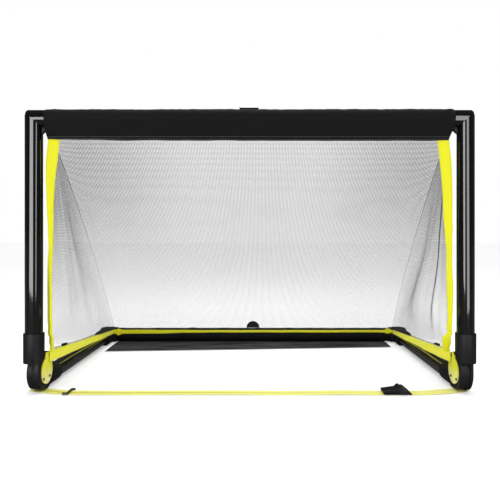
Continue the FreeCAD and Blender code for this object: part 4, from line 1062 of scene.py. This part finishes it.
class Netting:
    """The fine black mesh: two halves of the sloping back and a triangle on each side."""

    def __init__(self, finishes: Finishes) -> None:
        """Keeps the finish and the mesh's sizes."""
        self.tree = yarn_tree("mesh_yarn", finishes.yarn)
        self.pitch = 0.0043
        self.radius = 0.00034
        self.step = 0.016
        self.top = Vector((0.528, -0.352, 0.6785))
        self.low = Vector((0.5489, 0.3249, 0.0503))
        self.fore = Vector((0.5489, -0.318, 0.107))

    @staticmethod
    def ripple(x: float, down: float) -> float:
        """How far the back panel bellies out at a place, in metres."""
        edge = math.sin(math.pi * min(max(down, 0.0), 1.0))
        side = 1 - abs(x / 0.55) ** 6
        broad = wander(Vector((x, down * 0.5, 0.0)), 2.0, 1.4) * 0.008
        folds = wander(Vector((x + down * 0.08, down * 0.05, 0.0)), 13.0, 7.3) * 0.0018
        return (broad + folds) * edge * side

    @staticmethod
    def tuck(distance: float, down: float) -> float:
        """How far the slack corner between back and side is pulled in, from 0 to 1, by distance from their seam."""
        end = math.sin(math.pi * min(max(down, 0.0), 1.0)) ** 0.6
        return max(0.0, 1 - distance / 0.085) ** 2 * end

    @property
    def outward(self) -> Vector:
        """The back panel's own direction, up and to the rear."""
        return Vector((0.0, self.top.z - self.low.z, self.low.y - self.top.y)).normalized()

    def back_point(self, x_share: float, down: float) -> Vector:
        """A point of the back panel; x_share runs from -1 to 1 and down from 0 to 1."""
        half = lerp(self.top.x, self.low.x, down)
        x = x_share * half
        y, z = lerp(self.top.y, self.low.y, down), lerp(self.top.z, self.low.z, down)
        pulled = self.tuck((1 - abs(x_share)) * half, down)
        x -= math.copysign(0.018, x_share) * pulled
        return Vector((x, y, z)) + self.outward * (self.ripple(x, down) - 0.012 * pulled)

    def back(self, side: Side) -> bpy.types.Object:
        """One half of the back panel."""
        length = math.hypot(self.low.y - self.top.y, self.top.z - self.low.z)
        columns, rows = round(self.low.x / self.pitch), round(length / self.pitch)
        lines = []
        tall = max(2, round(length / self.step))
        for i in range(columns + 1):
            share = side.value * min((i + 0.5) / columns, 1.0)
            lines.append([self.back_point(share, j / tall) for j in range(tall + 1)])
        wide = max(2, round(self.low.x / self.step))
        for j in range(rows + 1):
            lines.append([self.back_point(side.value * i / wide, j / rows) for i in range(wide + 1)])
        return grow(f"{side.word}_back_mesh", lines, self.tree, {"Radius": self.radius, "Sides": 4})

    def arm_edge(self, y: float) -> float:
        """Height of the arm webbing's upper edge."""
        return lerp(self.fore.z, self.low.z, (y - self.fore.y) / (self.low.y - self.fore.y))

    def front_edge(self, z: float) -> float:
        """Place of the front edge."""
        return lerp(self.fore.y, self.top.y, (z - self.fore.z) / (self.top.z - self.fore.z))

    def side_point(self, side: Side, y: float, z: float) -> Vector:
        """A point of a side panel over its place on the goal's side view."""
        along = (y - self.top.y) / (self.low.y - self.top.y)
        rise = (z - self.low.z) / (self.top.z - self.low.z)
        x = lerp(self.low.x, self.top.x, min(max(rise, 0.0), 1.0))
        slope = lerp(self.low.y, self.top.y, (z - self.low.z) / (self.top.z - self.low.z))
        inside = min(z - self.arm_edge(y), y - self.front_edge(z), (slope - y) * 0.7)
        free = ease(inside / 0.12)
        seed = 2.0 if side is Side.LEFT else 9.0
        reach = math.hypot(y - self.top.y, self.top.z - z)
        fan = math.atan2(y - self.top.y, max(self.top.z - z, 1e-5))
        pull = wander(Vector((along * 0.7, rise, seed)), 3.0, seed) * 0.010
        folds = wander(Vector((fan, reach * 0.12, seed)), 11.0, seed) * 0.005 * ease(reach / 0.25)
        x += (pull - 0.005) * free + folds * free
        pulled = self.tuck(max(slope - y, 0.0) * 0.69, 1 - rise)
        x -= 0.018 * pulled
        inward = self.outward * (0.012 * pulled)
        return Vector((side.value * min(x, 0.5485), y - inward.y, z - inward.z))

    def side(self, side: Side) -> bpy.types.Object:
        """One side panel, clipped to its triangle."""
        lines = []

        def run(first: tuple[float, float], last: tuple[float, float]) -> None:
            """Adds one yarn between two places of the side view."""
            length = math.hypot(last[0] - first[0], last[1] - first[1])
            if length < self.pitch:
                return
            steps = max(1, round(length / self.step))
            lines.append([
                self.side_point(side, lerp(first[0], last[0], k / steps), lerp(first[1], last[1], k / steps))
                for k in range(steps + 1)
            ])

        count = int((self.low.y - self.top.y) / self.pitch)
        for i in range(count + 1):
            y = self.top.y + self.pitch * (i + 0.5)
            bottom = self.arm_edge(y)
            if y < self.fore.y:
                bottom = lerp(self.top.z, self.fore.z, (y - self.top.y) / (self.fore.y - self.top.y))
            run((y, bottom), (y, lerp(self.top.z, self.low.z, (y - self.top.y) / (self.low.y - self.top.y))))
        count = int((self.top.z - self.low.z) / self.pitch)
        for j in range(count + 1):
            z = self.low.z + self.pitch * (j + 0.5)
            last = self.top.y + (self.top.z - z) / (self.top.z - self.low.z) * (self.low.y - self.top.y)
            first = self.front_edge(z)
            if z < self.fore.z:
                first = self.fore.y + (self.fore.z - z) / (self.fore.z - self.low.z) * (self.low.y - self.fore.y)
            run((first, z), (last, z))
        for k in range(5):
            rise = Vector((side.value * 0.0008, 0.0, 0.0003 + 0.0008 * k))
            lines.append([Webbings.arm_station(side, i / 80)[0] + rise for i in range(81)])
        return grow(f"{side.word}_side_mesh", lines, self.tree, {"Radius": self.radius, "Sides": 4})

    def build(self) -> None:
        """Builds the four panels and bakes their placement."""
        for side in Side:
            for thing, node in ((self.back(side), "back_net"), (self.side(side), "side_net")):
                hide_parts(f"{side.word}_{node}")
                bend(thing, side)
        log.info("netting built")


def bend(thing: bpy.types.Object, side: Side) -> None:
    """Bakes a soft piece's placement into its mesh; it does not bend and is attached to no body."""
    side.base
    side.upright
    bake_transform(thing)


class Webbings:
    """The yellow webbing sewn along the net's edges, and its stitches."""

    def __init__(self, finishes: Finishes) -> None:
        """Keeps the finishes."""
        self.finishes = finishes
        self.thread = stitch_tree("edge_stitches", finishes.yellow_thread)
        self.sewn = {"Pitch": 0.0042, "Length": 0.0029, "Radius": 0.0003}
        self.stations = 150

    @staticmethod
    def edge_station(side: Side, share: float) -> tuple[Vector, Vector, Vector]:
        """The two edges and the face of the vertical webbing, from its foot to its top.

        Args:
            side: left or right.
            share: 0 at the foot and 1 at the crossbar's seam.

        Returns:
            The outer edge, the inner edge and the side that it faces.
        """
        z = lerp(0.1034, 0.6790, share)
        knots = [
            (0.0, 0.5440, 0.010, -0.3208), (0.03, 0.5415, 0.010, -0.3225), (0.081, 0.5405, 0.0095, -0.3325),
            (0.158, 0.5400, 0.0085, -0.339),
        ]
        if side is Side.LEFT:
            knots += [
                (0.253, 0.5400, 0.0080, -0.3415), (0.394, 0.5385, 0.0075, -0.3445), (0.487, 0.5350, 0.0080, -0.3465),
                (0.721, 0.5333, 0.0190, -0.3502), (0.815, 0.5326, 0.0240, -0.3510), (0.91, 0.5292, 0.0305, -0.3520),
                (1.0, 0.5242, 0.0306, -0.3528),
            ]
        else:
            knots += [
                (0.345, 0.5375, 0.0125, -0.3435), (0.487, 0.5343, 0.0155, -0.3465), (0.721, 0.5303, 0.0235, -0.3502),
                (0.815, 0.5278, 0.0266, -0.3510), (0.91, 0.5230, 0.0305, -0.3520), (1.0, 0.5177, 0.0308, -0.3528),
            ]
        place = knots[-1]
        for first, last in zip(knots, knots[1:]):
            if share <= last[0]:
                part = (share - first[0]) / (last[0] - first[0])
                place = tuple(lerp(a, b, part) for a, b in zip(first, last))
                break
        _, middle, seen, y = place
        if side is Side.RIGHT:
            spread = 0.012 * ease((0.163 - z) / 0.026) + 0.002 * math.exp(-(((z - 0.18) / 0.02) ** 2))
            seen, middle = seen + spread, middle - spread / 2
        seed = 2.5 if side is Side.LEFT else 7.5
        loose = math.sin(math.pi * min(share * 1.02, 1.0))
        sway = wander(Vector((0.0, 0.0, z)), 7.0, seed) * 0.003 * loose
        sway += wander(Vector((0.0, 0.0, z)), 26.0, seed + 4) * 0.0013 * loose
        gathered_at = 0.152
        bunch = math.exp(-(((z - gathered_at) / 0.022) ** 2))
        sway += bunch * math.sin((z - gathered_at) * 190) * 0.0018
        slim = 0.12 if side is Side.LEFT else 0.05
        half = 0.016 if share > slim else lerp(0.006, 0.016, ease(share / slim))
        open_wide = min(seen / 2, half)
        turn = math.acos(min(open_wide / half, 1.0)) if half > 0 else 0.0
        turn += wander(Vector((0.0, 0.0, z)), 9.0, seed + 2) * 0.22 * loose
        turn = min(max(turn, 0.0), 1.3)
        x = side.value * (middle + sway)
        across = Vector((side.value * math.cos(turn), -math.sin(turn) * 0.3, 0.0)) * half
        center = Vector((x, y - math.sin(turn) * 0.3 * half * 0.4, z))
        outer, inner = center + across, center - across
        face = Vector((-side.value * math.sin(turn) * 0.6, -math.cos(turn), 0.0))
        return outer, inner, face

    def sew(
        self, names: tuple[str, str], node: str, edges: list[tuple[Vector, Vector]], faces: list[Vector],
        margin: float,
    ) -> list[bpy.types.Object]:
        """One band with a row of stitches near each border.

        Args:
            names: the names of the band and of its stitches.
            node: the CAD node that the band stands for.
            edges: the two edge points at each station.
            faces: the side that the band looks to at each station.
            margin: how far in the stitches run, as a share of the width.

        Returns:
            The band and its stitches.
        """
        band = Strip(edges, faces).build(names[0], self.finishes.webbing)
        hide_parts(node)
        lines = [
            [
                first.lerp(last, place) + face.normalized() * (SIZES.webbing / 2)
                for (first, last), face in zip(edges, faces)
            ]
            for place in (margin, 1 - margin)
        ]
        return [band, grow(names[1], lines, self.thread, self.sewn)]

    def edge(self, side: Side) -> list[bpy.types.Object]:
        """The webbing of one vertical edge and its stitches."""
        stations = [self.edge_station(side, i / self.stations) for i in range(self.stations + 1)]
        names = (f"{side.word}_edge_band", f"{side.word}_edge_stitches")
        edges, faces = [station[:2] for station in stations], [station[2] for station in stations]
        return self.sew(names, f"{side.word}_edge_webbing", edges, faces, 0.1)

    @staticmethod
    def arm_station(side: Side, share: float) -> tuple[Vector, Vector]:
        """The upper and lower edges of the webbing along an arm, from the hinge to the rear corner."""
        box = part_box(f"{side.word}_arm_webbing")
        y = lerp(box[0].y, box[1].y, share)
        low, high = lerp(0.0745, 0.0343, share), lerp(0.1065, 0.0498, share)
        seed = 3.3 if side is Side.LEFT else 6.1
        loose = math.sin(math.pi * share) ** 0.5 if 0 < share < 1 else 0.0
        wave = wander(Vector((0.0, y, 0.0)), 9.0, seed) * 0.005 * loose
        small = wander(Vector((0.0, y, 0.0)), 31.0, seed) * 0.0014 * loose
        lean = wander(Vector((0.0, y, 0.4)), 6.0, seed + 1) * 0.005 * loose
        x = SIZES.web_x + SIZES.webbing / 2
        upper = x - max(0.0, wave + small + 0.0012 * loose)
        lower = x - max(0.0, wave + lean + small)
        lift = wander(Vector((0.0, y, 0.9)), 11.0, seed + 3) * 0.0022 * loose
        high_point = Vector((side.value * upper, y, high + lift))
        return high_point, Vector((side.value * lower, y, low + lift * 0.6))

    def arm(self, side: Side) -> list[bpy.types.Object]:
        """The webbing along one arm and its stitches."""
        edges = [self.arm_station(side, i / self.stations) for i in range(self.stations + 1)]
        names = (f"{side.word}_arm_band", f"{side.word}_arm_stitches")
        faces = [Vector((-side.value, 0.0, 0.0))] * len(edges)
        return self.sew(names, f"{side.word}_arm_webbing", edges, faces, 0.12)

    @staticmethod
    def rear_station(x: float) -> tuple[Vector, Vector]:
        """The upper and lower edges of the webbing on the rear bar, gathered into a lump near both ends."""
        y = 0.3259
        gather = math.exp(-((((abs(x) - 0.5302) / 0.0095)) ** 2))
        wave = wander(Vector((x, 0.0, 0.0)), 15.0, 4.4) * 0.0016
        fold = gather * (0.0035 + 0.0045 * math.sin(x * 420))
        slack = ease((x + 0.46) / 0.3)
        top = 0.0497 + gather * (0.0105 if x > 0 else 0.0050) + wave * 0.7 - 0.0012 * slack
        low = 0.0343 + 0.0050 * slack - gather * (0.0040 if x > 0 else 0.0065) + wave * 0.7
        return Vector((x, y - abs(fold) - max(0.0, wave), top)), Vector((x, y - abs(fold) * 0.6, low))

    def rear(self) -> list[bpy.types.Object]:
        """The webbing along the rear bar and its stitches."""
        count, half = 420, 0.5487
        edges = [self.rear_station(-half + 2 * half * i / count) for i in range(count + 1)]
        faces = [Vector((0.0, -1.0, 0.0))] * len(edges)
        return self.sew(("rear_band", "rear_band_stitches"), "rear_webbing", edges, faces, 0.16)

    def build(self) -> None:
        """Builds every webbing; the arm and rear webbings are attached to what they ride on."""
        for side in Side:
            for thing in self.edge(side):
                bend(thing, side)
            for thing in self.arm(side):
                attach(thing, side.base)
        for thing in self.rear():
            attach(thing, "rear_bar")
            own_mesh(thing)
        log.info("webbing built")


class FloorStrap:
    """The webbing across the mouth on the floor, with its cam buckle and its wire hook."""

    def __init__(self, finishes: Finishes) -> None:
        """Keeps the finishes and the strap's route."""
        self.finishes = finishes
        self.width = 0.038
        self.ends = (-0.5925, 0.586)
        self.sag = 0.030
        self.bend = 0.1375
        self.buckle_at, self.hook_at = 0.39, -0.487
        self.sewn_at = (-0.512, -0.46, 0.345, 0.434)

    def center_y(self, x: float) -> float:
        """Where the strap's middle lies: straight in front of the hinges and bent to its two rivets."""
        radius = (self.bend ** 2 + self.sag ** 2) / (2 * self.sag)
        past = max(0.0, abs(x) - (SIZES.tube_x - self.bend))
        return SIZES.axis_y - self.sag + radius - math.sqrt(radius ** 2 - past ** 2)

    def place(self, x: float, across: float, lift: float) -> Vector:
        """A point on the strap."""
        slope = (self.center_y(x + 0.001) - self.center_y(x - 0.001)) / 0.002
        normal = Vector((-slope, 1.0, 0.0)).normalized()
        return Vector((x, self.center_y(x), lift)) + normal * across

    def build(self) -> None:
        """Builds the strap, its stitches, its buckle and its hook."""
        count = 330
        edges, path = [], []
        half = self.width / 2
        for i in range(count + 1):
            x = lerp(self.ends[0], self.ends[1], i / count)
            free = ease((0.56 - abs(x)) / 0.05)
            under = max(
                math.exp(-(((x - self.buckle_at) / 0.06) ** 4)), math.exp(-(((x - self.hook_at) / 0.03) ** 4))
            )
            ripple = 0.5 + wander(Vector((x, 0.0, 0.0)), 6.5, 2.9)
            lift = 0.0008 + free * (1 - under) * ripple * 0.0014
            tilt = wander(Vector((x, 0.3, 0.0)), 9.0, 5.2) * 0.0005 * free * (1 - under)
            near, far = self.place(x, -half, lift + max(tilt, 0.0)), self.place(x, half, lift + max(-tilt, 0.0))
            edges.append((near, far))
            path.append((near + far) / 2)
        up = Vector((0.0, 0.0, 1.0))
        band = Strip(edges, [up] * len(edges), wide=self.width, columns=9).build(
            "floor_strap_band", self.finishes.strap
        )
        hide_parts("floor_strap")
        lines = []
        for start in self.sewn_at:
            for x in (start, start + 0.006):
                near, far = min(edges, key=lambda pair: abs(pair[0].x - x))
                lines.append([
                    near.lerp(far, lerp(0.08, 0.92, k / 20)) + up * (SIZES.webbing / 2) for k in range(21)
                ])
        thread = stitch_tree("strap_stitches", self.finishes.yellow_thread)
        stitches = grow("floor_strap_stitches", lines, thread, {"Pitch": 0.0036, "Length": 0.0027, "Radius": 0.0004})
        for thing in (band, stitches):
            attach(thing, "rear_bar")
            self.center_y(0.0)
            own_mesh(thing)
        fittings = self.fittings()
        log.info("floor strap, buckle and hook built")

    def fittings(self) -> list[bpy.types.Object]:
        """The buckle's frame, its lever and the wire hook, with their edges rounded."""
        plastic, wire = self.finishes.buckle, self.finishes.hook
        table = (
            ("buckle_frame_body", "buckle_frame", "right_base", Slot.BUCKLE, plastic, 0.0011, 2),
            ("buckle_lever_body", "buckle_lever", "lever", Slot.BUCKLE, plastic, 0.0011, 2),
            ("strap_hook_wire", "strap_hook", "left_base", Slot.HOOK, wire, 0.0014, 4),
        )
        things = []
        for name, node, body, slot, material, width, segments in table:
            thing = softened(name, node, width, material, segments=segments)
            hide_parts(node)
            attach(thing, body)
            things.append(thing)
        return things


class Mouldings:
    """The plastic hinges, corners, gussets, covers and clips with rounded edges, and the painted tubes."""

    def __init__(self, finishes: Finishes) -> None:
        """Keeps the finishes."""
        self.finishes = finishes

    def round(self, name: str, node: str, body: str, width: float, slot: Slot, material: bpy.types.Material) -> None:
        """One piece that stands for its node, with its edges rounded where the width isn't 0."""
        thing = softened(name, node, width, material)
        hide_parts(node)
        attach(thing, body)

    def build(self) -> None:
        """Builds the mouldings of both sides."""
        hinge, cover = self.finishes.hinge, self.finishes.cover
        for side in Side:
            word = side.word
            self.round(f"{word}_post_hub", f"{word}_post_knuckle", side.upright, 0.0018, Slot.HINGE, hinge)
            self.round(f"{word}_arm_hub", f"{word}_arm_knuckle", side.base, 0.0018, Slot.HINGE, hinge)
            self.round(f"{word}_corner_elbow", f"{word}_rear_corner", side.base, 0.0022, Slot.HINGE, hinge)
            self.round(f"{word}_inner_gusset", f"{word}_corner_gusset", side.upright, 0.0012, Slot.HINGE, hinge)
            self.round(f"{word}_mesh_clip", f"{word}_net_clip", side.base, 0.0009, Slot.HINGE, hinge)
            body = side.upright if side is Side.LEFT else side.base
            self.round(f"{word}_cover_disc", f"{word}_hinge_cover", body, 0.0008, Slot.COVER, cover)
            for node, body in (("post", side.upright), ("crossbar", side.upright), ("arm", side.base)):
                self.round(f"{word}_{node}_pipe", f"{word}_{node}_tube", body, 0.0, Slot.PAINT, self.finishes.paint)
        log.info("mouldings and tubes built")


class Hardware:
    """The CAD parts that stay as they are and only get their finish."""

    def __init__(self, finishes: Finishes) -> None:
        """Keeps the finishes."""
        self.finishes = finishes

    def finish_of(self, node: str) -> Optional[bpy.types.Material]:
        """The finish of a part by its name."""
        table = (
            ("rear_tube", self.finishes.paint),
            ("centre_tube", self.finishes.zinc), ("bush", self.finishes.guide),
            ("stop_plugs", self.finishes.guide), ("hinge_washer", self.finishes.guide),
            ("hinge_pin", self.finishes.pin), ("strap_rivet", self.finishes.pin),
            ("eyelet", self.finishes.pin), ("screw", self.finishes.screw),
        )
        for part, material in table:
            if part in node:
                return material
        return None

    def build(self) -> None:
        """Dresses every part that has such a finish."""
        for name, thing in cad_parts.items():
            material = self.finish_of(name)
            if material is None:
                continue
            if not thing.material_slots:
                thing.data.materials.append(material)
            for slot in thing.material_slots:
                slot.link = "OBJECT"
                slot.material = material
        log.info("tubes and fasteners dressed")


class Studio:
    """The pale floor, the white surround, the lamps and the camera of the photograph."""

    def __init__(self) -> None:
        """Keeps the camera's own numbers."""
        self.lens = 38.65
        self.spot = Vector((0.0285, -1.790, 0.421))
        self.shift = (-0.02084, -0.02884)
        self.ambient = 1.12
        self.mirrored = 0.05

    def camera(self) -> None:
        """The camera at the photograph's place."""
        data = bpy.data.cameras.new("camera")
        data.lens = self.lens
        data.sensor_width = 36.0
        data.shift_x, data.shift_y = self.shift
        data.clip_end = 100.0
        thing = bpy.data.objects.new("camera", data)
        thing.location = self.spot
        thing.rotation_euler = (math.radians(90), 0.0, 0.0)
        bpy.context.scene.collection.objects.link(thing)
        bpy.context.scene.camera = thing

    def floor(self) -> None:
        """A floor that is white to the camera, with a painted glow under the goal that lightens the goal's soft shadow.
        """
        shader = Shader("studio_floor")
        rays = [
            shader.add("ShaderNodeLightPath", {}, {}, f"Is {kind} Ray") for kind in ("Camera", "Glossy", "Transmission")
        ]
        distance = shader.add("ShaderNodeVectorMath", {"operation": "LENGTH"}, {0: shader.place()}, "Value")
        narrowed = shader.stretch(shader.place(), (0.6, 1.0, 1.0))
        beneath = shader.add("ShaderNodeVectorMath", {"operation": "LENGTH"}, {0: narrowed}, "Value")
        # painted light: the camera glow is strongest under the goal's footprint, where it lifts the goal's shadow, and
        # rises again far away
        glow = (1 - beneath.above(0.57, 0.07)) * 0.29 + distance.above(0.95, 0.4) * 0.09 + 0.015
        shader.set(
            Base_Color=shader.mix((0.8, 0.8, 0.8), (0.08, 0.08, 0.08), rays[1]), Roughness=0.9, Specular_IOR_Level=0.1,
            Emission_Color=(1.0, 1.0, 1.0), Emission_Strength=(rays[0] + rays[1] * self.mirrored + rays[2]) * glow,
        )
        half, low = 30.0, -0.0006
        mesh = bpy.data.meshes.new("studio_floor")
        mesh.from_pydata(
            [(-half, -half, low), (half, -half, low), (half, half, low), (-half, half, low)], [], [(0, 1, 2, 3)]
        )
        mesh.materials.append(shader.material)
        add_object("studio_floor", mesh)

    def world(self) -> None:
        """White where the camera or a reflection sees it, a calm grey as light."""
        world = bpy.data.worlds.new("studio")
        bpy.context.scene.world = world
        world.use_nodes = True
        tree = world.node_tree
        tree.nodes.clear()
        output = tree.nodes.new("ShaderNodeOutputWorld")
        path = tree.nodes.new("ShaderNodeLightPath")
        surface = None
        for kind, strength in (("", self.ambient), ("Glossy", self.mirrored), ("Transmission", 1.0), ("Camera", 1.0)):
            glow = tree.nodes.new("ShaderNodeBackground")
            glow.inputs["Color"].default_value = (1.0, 1.0, 1.0, 1.0)
            glow.inputs["Strength"].default_value = strength
            if surface is None:
                surface = glow.outputs[0]
                continue
            mix = tree.nodes.new("ShaderNodeMixShader")
            tree.links.new(path.outputs[f"Is {kind} Ray"], mix.inputs[0])
            tree.links.new(surface, mix.inputs[1])
            tree.links.new(glow.outputs[0], mix.inputs[2])
            surface = mix.outputs[0]
        tree.links.new(surface, output.inputs["Surface"])

    def lamp(
        self, name: str, spot: Point, aim: Point, size: tuple[float, float], power: float, mirrored: bool = False
    ) -> None:
        """One soft rectangular lamp; a mirrored one is a panel that only the gloss shows."""
        data = bpy.data.lights.new(name, "AREA")
        data.shape = "RECTANGLE"
        data.size, data.size_y = size
        data.energy = power
        thing = bpy.data.objects.new(name, data)
        thing.location = spot
        thing.visible_camera = False
        thing.visible_diffuse = not mirrored
        thing.rotation_euler = (Vector(aim) - Vector(spot)).to_track_quat("-Z", "Y").to_euler()
        bpy.context.scene.collection.objects.link(thing)

    def build(self) -> None:
        """Sets up the whole studio."""
        bpy.context.scene.view_settings.view_transform = "Standard"
        self.camera()
        self.floor()
        self.world()
        self.lamp("left_front", (-1.18, -2.4, 0.72), (-1.18, 0.0, 0.72), (1.65, 1.35), 33.0, mirrored=True)
        self.lamp("right_front", (1.0, -1.6, 0.72), (1.0, 0.0, 0.72), (0.5, 1.35), 7.5, mirrored=True)
        self.lamp("overhead", (0.0, 0.3, 3.0), (0.0, 0.0, 0.0), (2.6, 2.0), 44.0)
        log.info("studio built")


def main() -> None:
    """Builds the dressed goal and its studio."""
    logging.basicConfig(level=logging.INFO, format="%(name)s: %(message)s")
    Studio().build()
    finishes = Finishes()
    FloorStrap(finishes).build()
    Sleeves(finishes).build()
    Webbings(finishes).build()
    Netting(finishes).build()
    Mouldings(finishes).build()
    Hardware(finishes).build()


if __name__ == "__main__":
    main()
